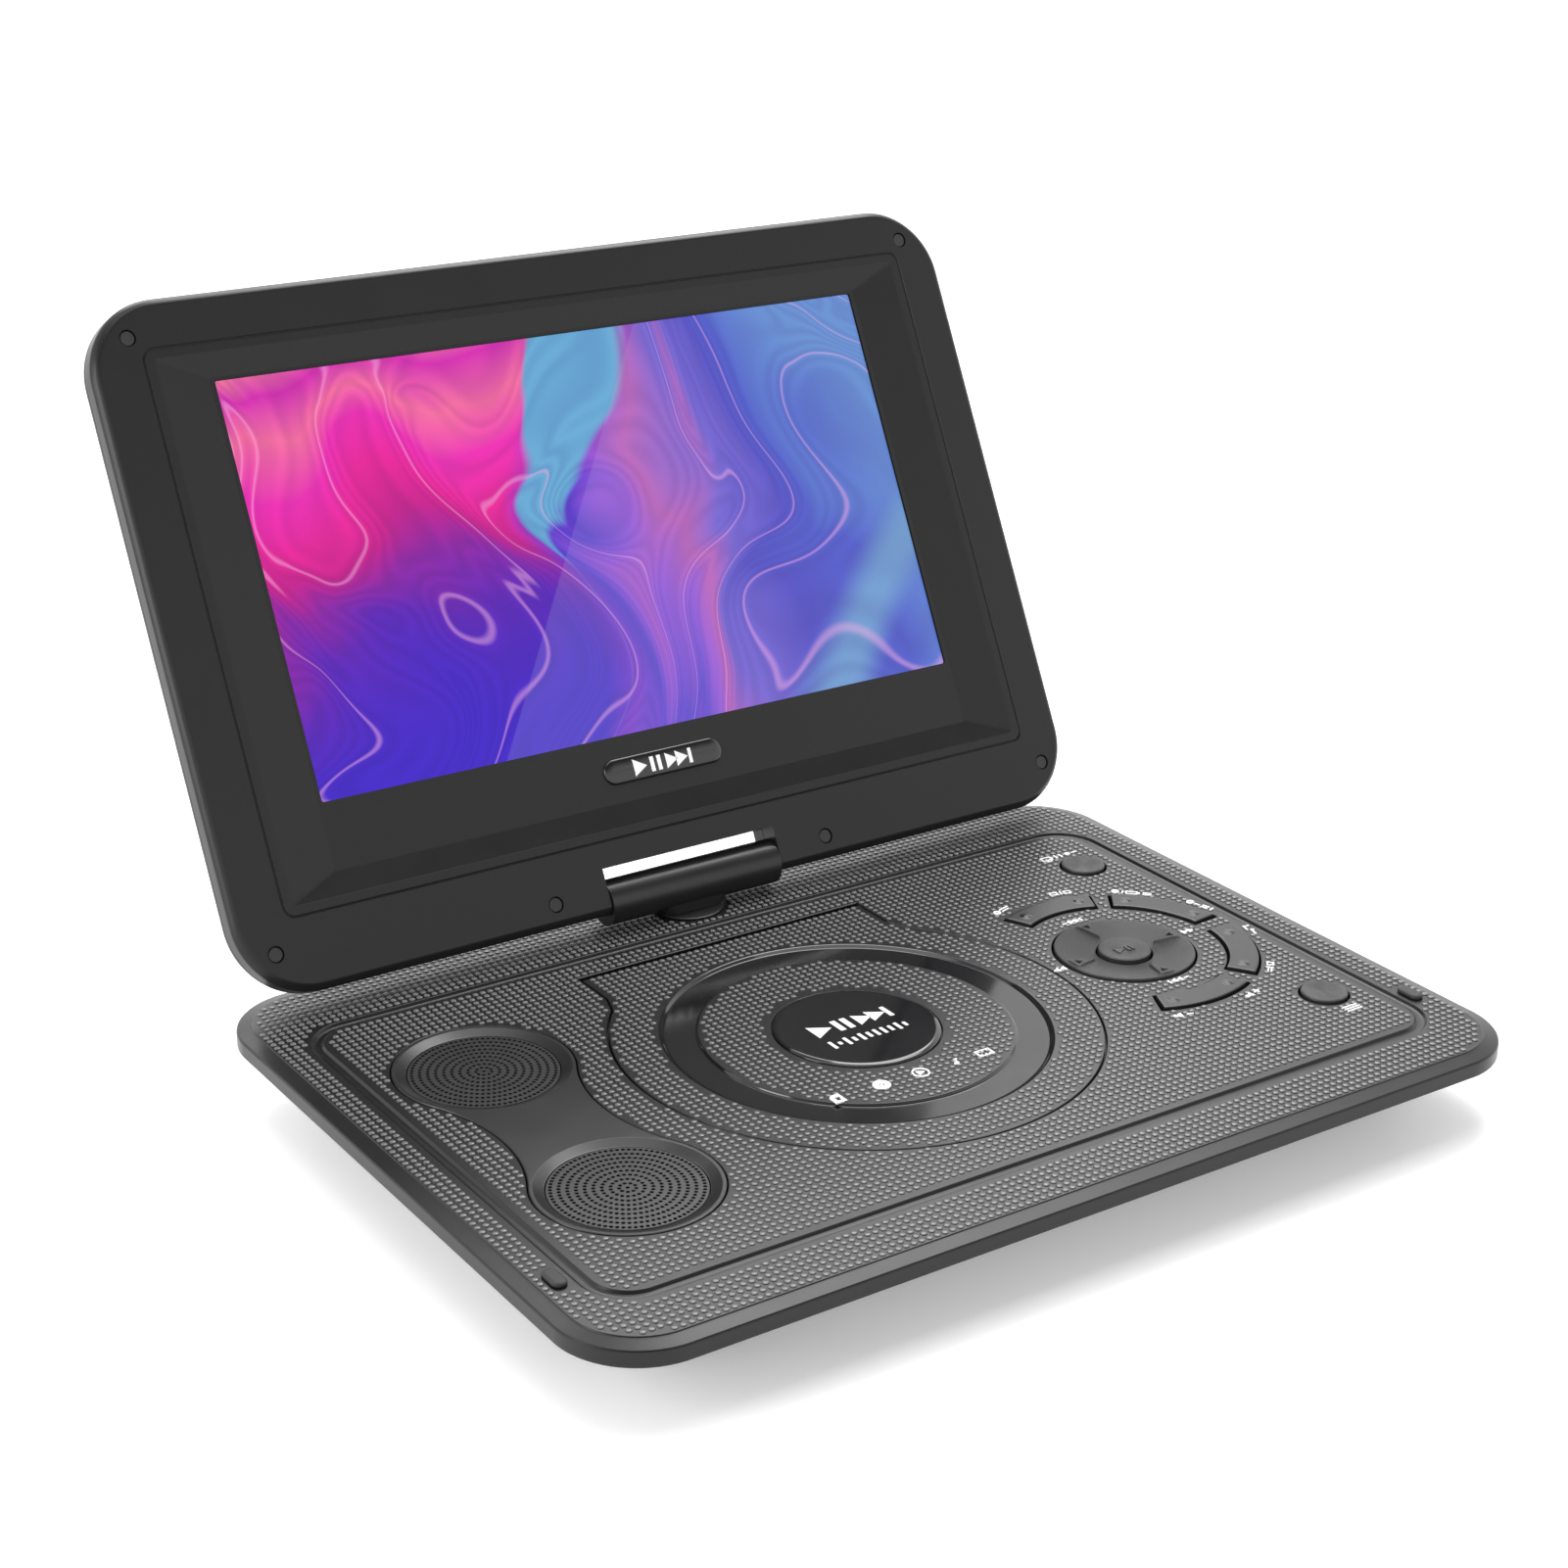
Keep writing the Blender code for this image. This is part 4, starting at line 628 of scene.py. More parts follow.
piece("emblem_disc", [skin(swept(ring_of(EMBLEM_R, DOOR, 120), emblem), "caps")], "door", PIANO,
      ["door_emblem"], sharp=35)

# ---- keys: round buttons, arc keys, and the rocking pad around its centre button ----
# The keys are moulded and then spun against an abrasive, which leaves fine rings that spread the
# light into a fan.  The arc keys have a finger bump at each end.


RINGS = 24000


def spun(name, centre, colour):
    """Satin plastic with fine rings about a centre: a sine of the distance drives the bump, and
    slow noise across the rings varies the tone."""
    made, shader, here = finish_material(name)
    x, y, z = here.axes()
    away_x = x - float(centre[0]) / 1000
    away_y = y - float(centre[1]) / 1000
    reach = (away_x * away_x + away_y * away_y).math("SQRT")
    rings = (reach * RINGS).math("SINE")
    tone = reach.node("TexNoise", {"noise_dimensions": "1D"}, {"W": reach, "Scale": 2600.0, "Detail": 3.0},
                      "Fac")
    feed(shader,
         Base_Color=tone.blend([0.8 * c for c in colour], [1.2 * c for c in colour]),
         Roughness=tone * 0.16 + 0.24,
         Specular_IOR_Level=0.38,
         Normal=(rings * 0.5 + tone).bump(0.00007))
    return made


KEY_TONE = (0.022, 0.022, 0.023)
SATIN_KEY = moulded("satin_key", (0.013, 0.013, 0.0135), 0.25, grain=0.000006, shine=0.26)


def disc_rows(centre, radii, heights, sides=72):
    """Rings about a centre with a height for each."""
    turn = np.arange(sides) / sides * 2 * np.pi
    unit = on_circle(turn)
    radii = np.asarray(radii, float)
    heights = np.broadcast_to(np.asarray(heights, float)[:, None], (len(radii), sides))
    return np.concatenate([radii[:, None, None] * unit + centre, heights[..., None]], -1)


for node, body in (("menu_button", "menu_key"), ("screen_button", "screen_key")):
    low, high = box_mm(node)
    centre = (low + high)[:2] / 2
    radii = [BUTTON_R, BUTTON_R, BUTTON_R - 0.15, BUTTON_R - 0.5, BUTTON_R - 1.0, 4.0, 2.0, 0.4]
    heights = [low[2], high[2] - 0.6, high[2] - 0.22, high[2] - 0.03, high[2], high[2] - 0.25, high[2] - 0.38,
               high[2] - 0.4]
    piece(node + "_cap", [skin(disc_rows(centre, radii, heights), "caps")], body,
          spun("spun_" + node, centre, KEY_TONE), [node], sharp=40)

BUMP_R = 1.75
BUMP_HEIGHT = 0.4
for node, (start, end) in ARCS.items():
    low, high = box_mm(node)
    body = node.replace("_key", "")
    turn = np.linspace(radians(start + 0.7), radians(end - 0.7), 90)
    reach = np.linspace(ARC_IN + 0.45, ARC_OUT - 0.45, 22)
    unit = on_circle(turn)
    top = reach[:, None, None] * unit + PAD
    height = np.full(top.shape[:2], high[2])
    for angle in (start + 7, end - 7):
        spot = (ARC_IN + ARC_OUT) / 2 * on_circle(radians(angle)) + PAD
        away = np.linalg.norm(top - spot, axis=-1) / BUMP_R
        height = height + BUMP_HEIGHT * np.clip(1 - away ** 2, 0, 1) ** 0.8
    points = np.concatenate([top, height[..., None]], -1)
    rows, columns = height.shape
    k = np.arange(rows * columns).reshape(rows, columns)
    quads = np.stack([k[:-1, :-1], k[1:, :-1], k[1:, 1:], k[:-1, 1:]], -1).reshape(-1, 4).tolist()
    edge = np.concatenate([top[-1], top[::-1, -1][1:], top[0, ::-1][1:], top[:, 0][1:-1]])
    wall = swept(edge, [(0.0, high[2]), (0.25, high[2] - 0.1), (0.42, high[2] - 0.45), (0.42, low[2])])
    piece(node + "_cap", [(points.reshape(-1, 3), quads), skin(wall, "last")], body, SATIN_KEY,
          [node], sharp=35)

low, high = box_mm("direction_pad")
OK_R = 8.3
inner = OK_R + KEY_GAP
sides = 288
turn = np.arange(sides) / sides * 2 * np.pi
reach = np.linspace(inner + 0.3, PAD_R - 0.6, 70)[:, None]
dish = high[2] - 1.3 * np.cos((reach - inner) / (PAD_R - inner) * np.pi / 2) ** 1.3
relief = np.zeros((len(reach), sides))
WEDGE_NEAR = 12.0
WEDGE_FAR = 20.6
WEDGE_HIGH = 0.75
FLANK = 0.45
POCKET_NEAR = 17.1
POCKET_FAR = 19.4
POCKET_DEEP = 1.3
for corner in np.arange(4) * np.pi / 2:
    ahead = reach * np.cos(turn - corner)
    across = np.abs(reach * np.sin(turn - corner))
    half = 0.3 + 2.7 * (ahead - WEDGE_NEAR) / 8.5
    wedge = np.clip((half - across) / FLANK, 0, 1) * np.clip((WEDGE_FAR - ahead) / FLANK, 0, 1)
    narrow = np.clip((0.55 * (ahead - POCKET_NEAR) - across) / 0.25, 0, 1)
    pocket = narrow * np.clip((POCKET_FAR - ahead) / 0.3, 0, 1)
    relief = relief + WEDGE_HIGH * wedge * (ahead > WEDGE_NEAR) - POCKET_DEEP * pocket
top = np.concatenate([disc_rows(PAD, reach[:, 0], np.zeros(len(reach)), sides)[..., :2],
                      (np.minimum(dish + relief, high[2] + 0.3))[..., None]], -1)
outer = disc_rows(PAD, [PAD_R - 0.25, PAD_R, PAD_R, inner, inner],
                  [high[2] - 0.1, high[2] - 0.5, low[2], low[2], top[0, 0, 2] - 0.3], sides)
piece("direction_pad_cap", [skin(np.concatenate([top, outer]), "ring")], "pad",
      spun("spun_pad", PAD, KEY_TONE), ["direction_pad"], sharp=50)

low, high = box_mm("ok_button")
radii = [OK_R, OK_R, OK_R - 0.2, OK_R - 0.6, 6.4, 4.5, 2.5, 0.4]
heights = [low[2], high[2] - 0.5, high[2] - 0.15, high[2], high[2] - 0.06, high[2] - 0.2, high[2] - 0.3,
           high[2] - 0.33]
piece("ok_button_cap", [skin(disc_rows(PAD, radii, heights), "caps")], "ok_key",
      spun("spun_ok", PAD, KEY_TONE), ["ok_button"], sharp=40)


# ---- marks beside the keys, on the play key and on the door ----
# Pad printing in white ink leaves a thin raised film.  Each mark is a plain pictogram made of
# bars, arrows and rings, in place of words.
INK, ink_shader, ink_here = finish_material("white_ink")
feed(ink_shader, Base_Color=ink_here.noise(3000, 2).blend((0.72, 0.72, 0.72), (0.9, 0.9, 0.9)), Roughness=0.5)


def bar(x, y, width, height):
    """A rectangle about (x, y)."""
    return np.array([(-1, -1), (1, -1), (1, 1), (-1, 1)]) * (width / 2, height / 2) + (x, y)


def arrow(x, y, size, facing=1):
    """A triangle about (x, y) that points to +X, or to -X when facing is -1."""
    corners = np.array([(-0.5, -0.6), (0.55, 0.0), (-0.5, 0.6)]) * size
    return (corners * (facing, 1) + (x, y))[::facing]


def disc_mark(x, y, radius):
    """A disc about (x, y) with a round hole."""
    return [ring_of(radius, (x, y), 28), ring_of(radius * 0.32, (x, y), 16)]


def frame_mark(x, y, width, height, line=0.45):
    """A rectangle about (x, y) with a rectangular hole, which leaves a line around it."""
    return [bar(x, y, width, height), bar(x, y, width - 2 * line, height - 2 * line)]


def note_mark(x, y):
    return [ring_of(0.75, (x - 0.7, y - 1.2), 16)], [bar(x, y, 0.42, 2.6)], [bar(x + 0.55, y + 1.1, 1.1, 0.5)]


def printed(shapes, place, turn, top, foot):
    """Parts of raised shapes, each a list of outlines with its outside first, turned by an angle in
    degrees and moved to a place."""
    lean = radians(turn)
    matrix = np.array([(np.cos(lean), np.sin(lean)), (-np.sin(lean), np.cos(lean))])
    parts = []
    for shape in shapes:
        outlines = [outline @ matrix + place for outline in shape]
        parts += [plate(outlines, top), plate(outlines, foot)]
        parts += [skin(swept(outline, [(0.0, foot), (0.0, top)])) for outline in outlines]
    return parts


def rule(x, y, width):
    """A thin level line about (x, y)."""
    return [bar(x, y, width, 0.42)]


def post(x, height):
    """A thin upright line at x."""
    return [bar(x, 0, 0.4, height)]


def head(x, size, facing=1):
    """An arrow head at x."""
    return [arrow(x, 0, size, facing)]


MARKS = {
    "back": [post(-2.5, 1.7), head(-1.2, 1.6, -1), head(0.5, 1.6, -1), rule(2.6, 0, 1.4)],
    "onward": [rule(-2.6, 0, 1.4), head(-0.5, 1.6), head(1.2, 1.6), post(2.5, 1.7)],
    "rewind": [head(-0.9, 1.6, -1), head(0.9, 1.6, -1)],
    "forward": [head(-0.9, 1.6), head(0.9, 1.6)],
    "screen": [frame_mark(-4.2, 0.1, 3.2, 2.0, 0.35), rule(-4.2, -1.45, 1.8), post(-1.2, 1.9), post(0.4, 1.9),
               [ring_of(0.75, (2.6, 0), 16)], rule(4.9, 0, 1.8)],
    "menu": [rule(0, 0.95, 4.6), rule(0, 0, 4.6), rule(0, -0.95, 4.6)],
    "setup": [disc_mark(-2.2, 0, 1.0), rule(1.0, 0.5, 3.4), rule(0.6, -0.5, 2.6)],
    "mode": [frame_mark(-1.7, 0, 2.2, 1.7, 0.35), post(0.3, 1.7), frame_mark(2.0, 0, 2.0, 1.7, 0.35)],
    "source": [disc_mark(-4.0, 0, 1.0), [bar(-2.2, 0, 0.35, 1.9)], frame_mark(0.1, 0, 3.0, 1.7, 0.35),
               [bar(1.9, 0, 0.6, 0.8)], rule(4.0, 0.45, 2.2), rule(4.0, -0.45, 2.2)],
    "search": [disc_mark(-3.2, 0.1, 1.0), rule(-1.1, 0, 1.5), rule(1.2, 0.5, 2.0), rule(1.2, -0.5, 2.0),
               post(3.1, 1.6)],
    "angle": [post(-1.8, 1.8), rule(-0.7, -0.7, 1.8), [ring_of(0.5, (0.6, 0.4), 14)], rule(2.2, 0, 1.4)],
    "copy": [frame_mark(-1.5, 0.0, 1.8, 1.8, 0.35), post(0.6, 1.8), rule(2.1, 0.4, 1.6),
             rule(2.1, -0.4, 1.6)],
    "quieter": [[bar(-2.2, 0, 0.9, 1.0)], head(-1.3, 1.7, -1), rule(1.6, 0, 1.7)],
    "louder": [[bar(-2.2, 0, 0.9, 1.0)], head(-1.3, 1.7, -1), rule(1.6, 0, 1.7), [bar(1.6, 0.56, 0.42, 0.66)],
               [bar(1.6, -0.56, 0.42, 0.66)]],
}
LEGENDS = [
    ("screen", SCREEN_KEY + (-1.6, 10.6), 0), ("menu", MENU - (0.0, 12.0), 0),
    ("setup", PAD + (-13.5, 44.4), 16), ("mode", PAD + (10.5, 44.8), -14),
    ("source", PAD + (30.5, 32.5), -45), ("search", PAD + (43.0, 12.5), -74),
    ("angle", PAD + (44.0, -9.5), -100), ("copy", PAD + (30.5, -33.5), -135),
    ("quieter", PAD + (-14.5, -44.4), -14), ("louder", PAD + (13.0, -44.6), 16),
    ("onward", PAD + (0.0, 25.2), 0), ("back", PAD - (0.0, 25.2), 0),
    ("rewind", PAD - (26.0, 0.0), 0), ("forward", PAD + (26.2, 0.0), 0),
]
INK_TOP = DECK + STUD_HEIGHT + 0.06
LEGEND_SCALE = 1.3
legend_parts = []
for mark, place, turn in LEGENDS:
    shapes = [[LEGEND_SCALE * outline for outline in shape] for shape in MARKS[mark]]
    legend_parts += printed(shapes, place, turn, INK_TOP, DECK - 0.05)
piece("key_legends", legend_parts, "base", INK, sharp=30)

film = [frame_mark(0, 0, 5.2, 3.6)] + [[bar(x, y, 0.5, 0.5)] for x in (-1.5, 0, 1.5) for y in (-0.9, 0.9)]
card = [[np.array([(-1.8, -2.3), (1.8, -2.3), (1.8, 2.3), (-0.8, 2.3), (-1.8, 1.3)]),
         bar(0.2, -0.2, 1.6, 2.0)]]
play = [[ring_of(2.7, (0, 0), 32), ring_of(2.2, (0, 0), 32)[::-1]], [arrow(0.15, 0, 2.3)]]
MARK_ROW = -33.2
door_marks = []
for shift, shapes in ((-30.4, card), (-15.0, [disc_mark(0, 0, 2.7), [ring_of(0.5, (0, 0), 12)]]),
                      (-1.2, play), (11.4, list(note_mark(0.3, 0.2))), (21.8, film)):
    door_marks += printed(shapes, DOOR + (shift, MARK_ROW), 0, INK_TOP, DECK - 0.05)
piece("door_marks", door_marks, "door", INK, sharp=30)

ok_top = box_mm("ok_button")[1][2] - 0.28
play_marks = [[arrow(-1.7, 0, 2.9)], [bar(1.2, 0, 0.75, 3.2)], [bar(2.8, 0, 0.75, 3.2)]]
piece("play_key_mark", printed(play_marks, PAD, 0, ok_top + 0.22, ok_top - 0.1), "ok_key", SATIN_KEY,
      sharp=30)

emblem_top = box_mm("door_emblem")[1][2]
play_row = [[arrow(-10.4, 3.2, 6.4)], [bar(-4.6, 3.2, 1.9, 6.6)], [bar(-1.2, 3.2, 1.9, 6.6)],
            [arrow(4.6, 3.2, 5.4)], [arrow(9.4, 3.2, 5.4)], [bar(13.2, 3.2, 1.5, 6.4)]]
levels = [[bar(2.6 * k, -6.4, 1.1, 1.4 + 3.2 * abs(np.sin(1.7 * k + 0.6)))] for k in range(-5, 6)]
piece("emblem_mark", printed(play_row + levels, DOOR, 0, emblem_top + 0.05, emblem_top - 0.15), "door",
      INK, sharp=30)

# ---- lid: bezel, back cover, picture, badge and screw caps ----
# Two shells screwed together around the display.  The bezel slopes in towards the picture from a
# fine framing line, and six rubber caps hide its screws.
tilt_joint = next(j for j in frame["joints"] if j["name"] == "lid_tilt")
PIVOT = np.array(tilt_joint["pos_m"]) * 1000
LEAN = radians(27.8)
LID_HALF = 155.0
LID_BELOW = 4.0
LID_ABOVE = 208.5
LID_CORNER = 24.0
LID_THICK = 13.0
BEZEL = 7.0
LID_WALL = 2.2
NOTCH_HALF = 32.2
NOTCH_TOP = 10.7
lid_mid = (LID_ABOVE - LID_BELOW) / 2
LEAN_TURN = np.array([[1, 0, 0], [0, np.cos(LEAN), -np.sin(LEAN)], [0, np.sin(LEAN), np.cos(LEAN)]])


def leant(parts):
    """Takes parts from the lid's own axes, X across, Y behind its face and Z up it, to the open
    lid: shifted to the hinge line and turned back about it."""
    shift = np.array([0, LID_THICK / 2, 0])
    return [((points - shift) @ LEAN_TURN + PIVOT, faces) for points, faces in parts]


def stood(parts):
    """Stands flat parts up: their Y becomes the height and their Z the depth."""
    return leant([(points[:, [0, 2, 1]], faces) for points, faces in parts])


def lid_line(inset=0.0, spare=0.0):
    """The lid's rounded rectangle, moved in, with the hinge's notch in its lower edge."""
    line = round_rectangle(LID_HALF - inset, (LID_ABOVE + LID_BELOW) / 2 - inset, LID_CORNER - inset,
                           (0, lid_mid), 24)
    low = -LID_BELOW + inset
    half = NOTCH_HALF + spare
    notch = [(-half, low), (-half, NOTCH_TOP + spare), (half, NOTCH_TOP + spare), (half, low)]
    return np.concatenate([line[:72], notch, line[72:]])


def raised(outline, depth):
    """A flat outline as points at one depth."""
    return np.column_stack([outline, np.full(len(outline), depth)])


def blended(one, other, steps):
    """Rows from one outline to another, for steps of the other's share and the depth."""
    return [raised(one * (1 - share) + other * share, depth) for share, depth in steps]


SCREEN_W = 234.0
SCREEN_H = 131.0
SCREEN_LOW = 50.4


def window(side, end, radius, steps=8):
    """The recessed window's rectangle, moved out by side across and by end up and down."""
    low = SCREEN_LOW - 21.0 - end
    high = SCREEN_LOW + SCREEN_H + 1.0 + end
    return round_rectangle(SCREEN_W / 2 + 1.3 + side, (high - low) / 2, radius, (0, (high + low) / 2), steps)


caps = {}
for node in frame["nodes"]:
    if node.startswith("screw_cap"):
        place = (middle_mm(node) - PIVOT) @ LEAN_TURN.T
        caps[node] = place[[0, 2]]
CAP_R = 2.3
picture_edge = round_rectangle(SCREEN_W / 2, SCREEN_H / 2, 0.8, (0, SCREEN_LOW + SCREEN_H / 2), 8)
slope_top = window(17, 7.5, 1.5)
line_out = window(17 + 3.4, 7.5 + 3.4, 4.0)
line_in = window(17 + 2.6, 7.5 + 2.6, 3.2)
floor_line = window(0, 0, 0.8)
WINDOW_DEEP = 2.6
LID_CHARCOAL = moulded("lid_charcoal", (0.011, 0.011, 0.0115), 0.32, grain=0.000008, shine=0.22)
edge_profile = [(0.0, BEZEL), (0.0, 2.9), (0.08, 2.45), (0.3, 2.0), (0.85, 1.15), (1.25, 0.72), (1.75, 0.33),
                (2.1, 0.14), (2.45, 0.03), (2.8, 0.0)]
bezel_rows = [raised(lid_line(inset), depth) for inset, depth in edge_profile]
cap_holes = [ring_of(CAP_R + 0.3, place, 32) for place in caps.values()]
groove_rows = blended(line_out, line_in, [(0, 0.0), (0.25, 0.32), (0.5, 0.4), (0.75, 0.32), (1, 0.0)])
slope_rows = blended(slope_top, floor_line,
                     [(0, 0.0), (0.03, 0.12), (0.98, WINDOW_DEEP - 0.03), (1, WINDOW_DEEP)])
BACK_PLANE = 3.4
inner_line = lid_line(LID_WALL, LID_WALL)
bezel_parts = [
    skin(bezel_rows), plate([lid_line(2.8), line_out] + cap_holes, 0.0), skin(groove_rows),
    plate([line_in, slope_top], 0.0), skin(slope_rows), plate([floor_line, picture_edge], WINDOW_DEEP),
    skin([raised(picture_edge, WINDOW_DEEP), raised(picture_edge, BACK_PLANE)]),
    plate([inner_line, picture_edge], BACK_PLANE),
    skin([raised(inner_line, BACK_PLANE), raised(inner_line, BEZEL), raised(lid_line(), BEZEL)]),
]
bezel_parts += [skin([raised(hole, 0.0), raised(hole, 2.2)], "last") for hole in cap_holes]
piece("lid_front_bezel", stood(bezel_parts), "lid", LID_CHARCOAL, ["lid_bezel"], sharp=16)

cover_curve = [(0.0, 8.4), (0.12, 8.9), (0.5, 9.7), (1.0, 10.4), (1.9, 11.2), (3.0, 11.85), (4.2, 12.3),
               (5.6, 12.7), (7.0, 12.93), (8.0, LID_THICK)]
cover_rows = [raised(lid_line(inset), depth) for inset, depth in [(0.0, BEZEL + 0.3)] + cover_curve]
back_parts = [skin(cover_rows), plate([lid_line(8.0)], LID_THICK), plate([inner_line], LID_THICK - 4.0),
              skin([raised(inner_line, LID_THICK - 4.0), raised(inner_line, BEZEL + 0.3),
                    raised(lid_line(), BEZEL + 0.3)])]
piece("lid_rear_cover", stood(back_parts), "lid", LID_CHARCOAL, ["lid_back_cover"], sharp=20)

CAP_RUBBER = moulded("cap_rubber", (0.010, 0.010, 0.010), 0.55)
CAP_PROFILE = [(0.0, 2.0), (0.0, 0.5), (0.2, 0.32), (0.5, 0.28), (1.0, 0.42)]
for node, place in caps.items():
    rows = [raised(ring_of(CAP_R - inset, place, 40), depth) for inset, depth in CAP_PROFILE]
    piece(node + "_plug", stood([skin(rows, "caps")]), "lid", CAP_RUBBER, [node], sharp=40)

# The display shows a flowing abstract of coloured silk, seen through a polished glass, with a painted
# reflection: a faint white glare right of a slanted line.
PICTURE, picture_shader, picture_here = finish_material("lit_picture")
picture_uv = picture_here.node("TexCoord", {}, {}, "UV")
u, v, _ = picture_uv.axes()


def vector_of(x, y):
    return u.node("CombineXYZ", {}, {0: x, 1: y})


across = u * 1.78
swell = vector_of(across, v).noise(1.3, 1.0)
sway = vector_of(across + 4.7, v + 2.2).noise(1.1, 1.0)
bent_x = across + (swell - 0.5) * 1.5
bent_y = v + (sway - 0.5) * 1.5
fold_x = bent_x + (vector_of(bent_x + 1.9, bent_y * 0.8).noise(1.6, 1.5) - 0.5) * 0.9
fold_y = bent_y + (vector_of(bent_x + 8.1, bent_y + 3.3).noise(1.4, 1.5) - 0.5) * 0.9
stream = vector_of(fold_x * 1.2, fold_y * 0.5).noise(1.5, 2.0)
wave_u = u + (stream - 0.5) * 0.45 + (fold_x - across) * 0.18
wave_v = v + (stream - 0.5) * 0.8 + (fold_y - v) * 0.25
warm = (wave_v * 0.95 - u * 0.30 + 0.06).between(0.0, 1.0)
pinks = warm.node("ValToRGB", {"stops": [
    (0.00, (0.05, 0.01, 0.60)), (0.16, (0.12, 0.01, 0.50)), (0.30, (0.28, 0.01, 0.40)),
    (0.44, (0.60, 0.005, 0.28)), (0.58, (0.86, 0.01, 0.34)), (0.72, (0.90, 0.02, 0.48)),
    (0.84, (0.96, 0.16, 0.38)),
    (0.93, (0.70, 0.02, 0.46)), (1.00, (0.95, 0.24, 0.30))]}, {0: warm})
cool = (wave_u * 1.35 - 0.42 + wave_v * 0.22).between(0.0, 1.0)
violets = cool.node("ValToRGB", {"stops": [
    (0.00, (0.40, 0.02, 0.52)), (0.16, (0.26, 0.03, 0.62)), (0.30, (0.10, 0.04, 0.64)),
    (0.40, (0.30, 0.08, 0.70)), (0.50, (0.50, 0.10, 0.50)), (0.62, (0.16, 0.10, 0.66)),
    (0.76, (0.05, 0.04, 0.56)),
    (0.90, (0.04, 0.07, 0.60)), (1.00, (0.10, 0.26, 0.66))]}, {0: cool})
divide = (wave_u - 0.47 + v * 0.06).between(-0.02, 0.05)
silk = divide.blend(pinks, violets)
tongue_half = (wave_v - 0.42).between(0.0, 0.5) * 0.075
tongue = 1.0 - (wave_u - 0.48).math("ABSOLUTE").between(tongue_half - 0.012, tongue_half + 0.004)
silk = tongue.blend(silk, (0.14, 0.42, 0.70))
slant = v * 0.62 - u + 0.82 + (stream - 0.5) * 0.5
streak = 1.0 - slant.math("ABSOLUTE").between(0.01, 0.09)
silk = (streak * 0.75).blend(silk, (0.16, 0.40, 0.66))
threads = (stream * 260.0).math("SINE") * 0.5 + 0.5
shade = silk.node("Mix", {"data_type": "RGBA", "blend_type": "MULTIPLY"},
                  {0: 0.7, 6: silk, 7: (threads * 0.3 + 0.7).blend((0.3, 0.15, 0.5), (1.0, 1.0, 1.0))}, 2)
ridge = (stream * 9.0).math("PINGPONG", 0.5)
glow = 1.0 - ridge.between(0.0, 0.05)
lit = shade.node("Mix", {"data_type": "RGBA"}, {0: glow * 0.34, 6: shade, 7: (0.98, 0.45, 0.85, 1)}, 2)
# Painted reflection: a faint white glare mixed into the picture's colour to the right of a slanted line.
PAINTED_GLARE_FOOT = 0.27
PAINTED_GLARE_LEAN = 0.36
painted_glare = (u - v * PAINTED_GLARE_LEAN).between(PAINTED_GLARE_FOOT, PAINTED_GLARE_FOOT + 0.004) * 0.05
silk = lit.node("Mix", {"data_type": "RGBA"}, {0: painted_glare, 6: lit, 7: (0.9, 0.9, 1.0, 1)}, 2)
PICTURE_STRENGTH = 0.95
feed(picture_shader, Base_Color=(0.0, 0.0, 0.0), Roughness=0.18, Specular_IOR_Level=0.2,
     Emission_Color=silk, Emission_Strength=PICTURE_STRENGTH)
low, high = picture_edge.min(0), picture_edge.max(0)
sheet = [raised(picture_edge, 3.85), raised(picture_edge, 3.6)]
picture = piece("display_picture", stood([skin(sheet, "caps")]), "lid", PICTURE)
picture.visible_glossy = False
picture.visible_diffuse = False
local = np.zeros(len(picture.data.vertices) * 3)
picture.data.vertices.foreach_get("co", local)
spot = local.reshape(-1, 3) * 1000 - PIVOT
up_face = spot[:, 1] * np.sin(LEAN) + spot[:, 2] * np.cos(LEAN)
flat_uv = np.stack([(spot[:, 0] - low[0]) / SCREEN_W, (up_face - low[1]) / SCREEN_H], -1)
corner = np.zeros(len(picture.data.loops), int)
picture.data.loops.foreach_get("vertex_index", corner)
picture.data.uv_layers.new(name="face").data.foreach_set("uv", flat_uv[corner].ravel())

BADGE_HALF = 22.0
BADGE_RISE = 4.15
badge_centre = (0.0, SCREEN_LOW - 10.5 - 0.6)
badge_line = round_rectangle(BADGE_HALF, BADGE_RISE, BADGE_RISE - 0.05, badge_centre, 16)
dome = [(0.0, WINDOW_DEEP - 0.05)] + [(-3.2 * (1 - np.cos(t)), WINDOW_DEEP - 0.3 - 0.95 * np.sin(t))
                                      for t in np.linspace(0, np.pi / 2, 9)]
piece("badge_pill", stood([skin(swept(badge_line, dome), "caps")]), "lid", PIANO, ["lid_badge"],
      sharp=40)
badge_top = WINDOW_DEEP - 1.25
badge_marks = [[arrow(-9.2, 0, 4.6)], [bar(-4.6, 0, 1.4, 4.8)], [bar(-2.0, 0, 1.4, 4.8)],
               [arrow(2.6, 0, 4.2)], [arrow(6.4, 0, 4.2)], [bar(9.6, 0, 1.2, 4.8)]]
piece("badge_mark", stood(printed(badge_marks, badge_centre, 0, badge_top - 0.04, badge_top + 0.1)), "lid",
      INK, sharp=30)

# ---- hinge: barrel on the turntable, and the bright leaf in the lid's notch ----
# The barrel is a smooth black moulding on a friction turntable.  A polished steel leaf closes the
# top of the notch.
BARREL = moulded("barrel_black", (0.012, 0.012, 0.0125), 0.30, grain=0.000005, shine=0.32)
smoothed("hinge_barrel", "swivel", BARREL)
CHROME, chrome_shader, chrome_here = finish_material("polished_chrome")
feed(chrome_shader, Base_Color=chrome_here.noise(40, 2).blend((0.86, 0.87, 0.88), (0.93, 0.93, 0.94)),
     Metallic=1.0, Roughness=chrome_here.noise(900, 3) * 0.08 + 0.06)

# ---- inner and small pieces ----
# The drive, the boards and the sockets keep the shapes they have and get their real finishes.


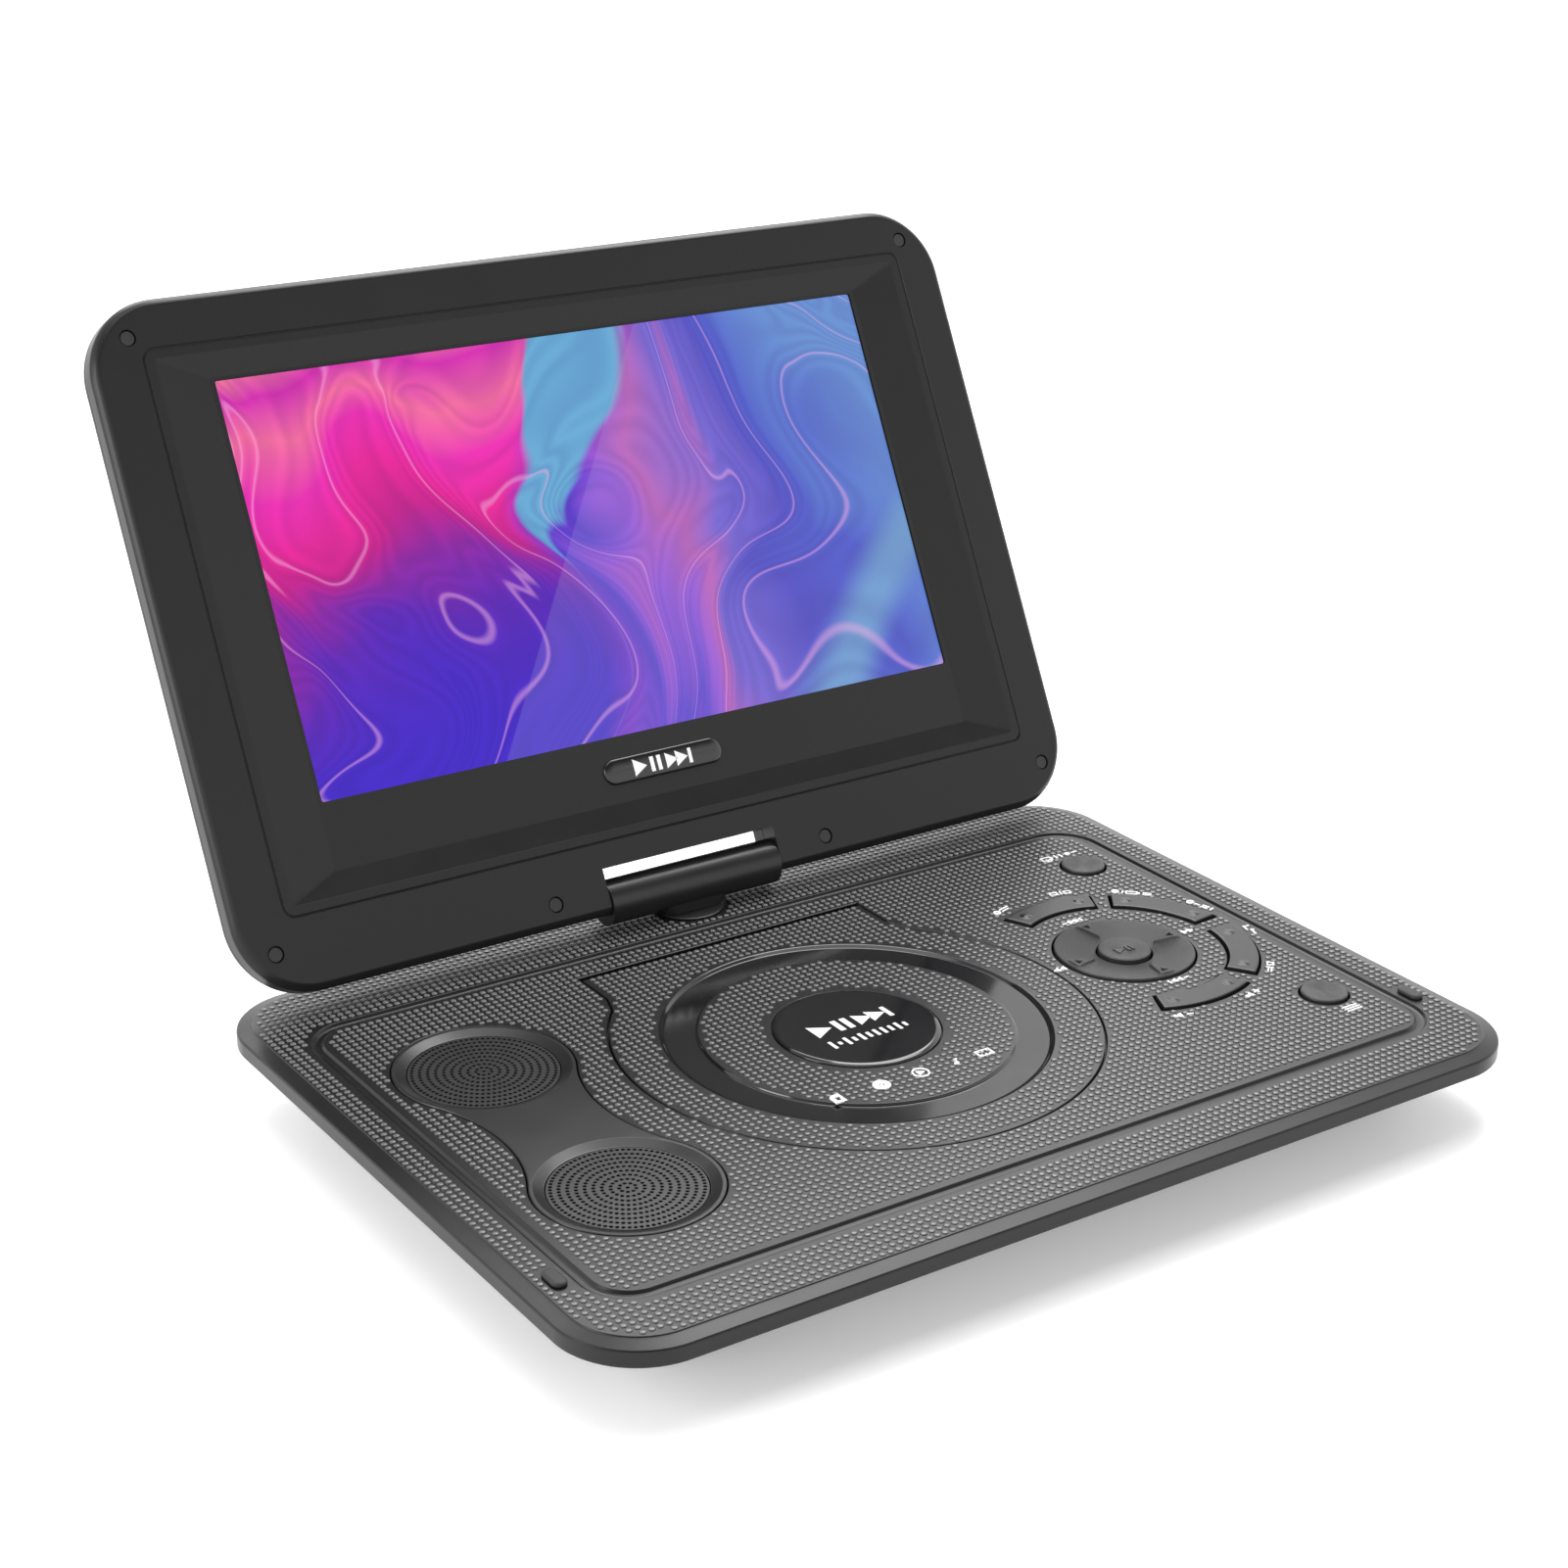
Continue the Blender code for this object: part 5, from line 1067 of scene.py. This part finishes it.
def metal(name, colour, roughness, scratch):
    """Plated or brushed steel: noise stretched along X marks the brushing."""
    made, shader, here = finish_material(name)
    x, y, z = here.axes()
    drawn = here.node("CombineXYZ", {}, {0: x * 0.05, 1: y, 2: z}).noise(scratch, 4)
    feed(shader, Base_Color=drawn.blend([0.85 * c for c in colour], colour), Metallic=1.0,
         Roughness=drawn * 0.2 + (roughness - 0.1), Normal=drawn.bump(0.000004))
    return made


def circuit(name, colour):
    """Solder mask over copper: a brick pattern stands for the tracks, and noise for the pads."""
    made, shader, here = finish_material(name)
    tracks = here.node("TexBrick", {}, {"Vector": here, "Scale": 160.0, "Mortar Size": 0.03}, "Fac")
    feed(shader, Base_Color=tracks.blend([1.6 * c for c in colour], colour), Roughness=0.4,
         Normal=tracks.bump(0.00003))
    return made


STEEL = metal("brushed_steel", (0.62, 0.63, 0.65), 0.34, 2600)
BOARD = circuit("circuit_board", (0.012, 0.11, 0.045))
WRAP = moulded("battery_wrap", (0.02, 0.07, 0.28), 0.35)
CONE = moulded("paper_cone", (0.02, 0.02, 0.02), 0.8, grain=0.00005)
LENS, lens_shader, lens_here = finish_material("coated_lens")
feed(lens_shader, Base_Color=lens_here.noise(300, 2).blend((0.10, 0.12, 0.35), (0.25, 0.12, 0.40)),
     Roughness=0.05)
FINISHES = {
    STEEL: ["drive_chassis", "spindle_motor", "feed_motor", "feed_screw", "guide_rod_left",
            "guide_rod_right", "door_pin", "hinge_pin", "swivel_retainer", "usb_port", "card_slot"],
    BOARD: ["main_board", "key_board"],
    CHROME: ["hinge_leaf"],
    WRAP: ["battery_pack"],
    CONE: ["speaker_driver_front", "speaker_driver_rear"],
    LENS: ["objective_lens"],
    MOULDED_BLACK: ["disc_tray", "turntable_hub", "laser_sled", "door_latch", "pad_gimbal", "av_jack",
                    "headphone_jack", "power_jack", "swivel_turntable", "screen_panel"],
    SATIN_KEY: ["power_knob"],
}
for finish, nodes in FINISHES.items():
    for node in nodes:
        frame["nodes"][node].data.materials.clear()
        frame["nodes"][node].data.materials.append(finish)

# ---- table ----
# A plain pale table top, wide enough that its edge stays out of sight.  It glows faintly, as a
# backdrop lit from below does, so that the shadow under the deck stays light.
TABLE, table_shader, table_here = finish_material("pale_table")
feed(table_shader, Base_Color=table_here.noise(3, 2).blend((0.93, 0.93, 0.93), (0.96, 0.96, 0.96)),
     Roughness=0.6, Emission_Color=(1.0, 1.0, 1.0), Emission_Strength=0.22)
top = bpy.data.meshes.new("table_top")
top.from_pydata([(-4, -4, 0), (4, -4, 0), (4, 4, 0), (-4, 4, 0)], [], [(0, 1, 2, 3)])
top.materials.append(TABLE)
table_top = bpy.data.objects.new("table_top", top)
bpy.context.scene.collection.objects.link(table_top)
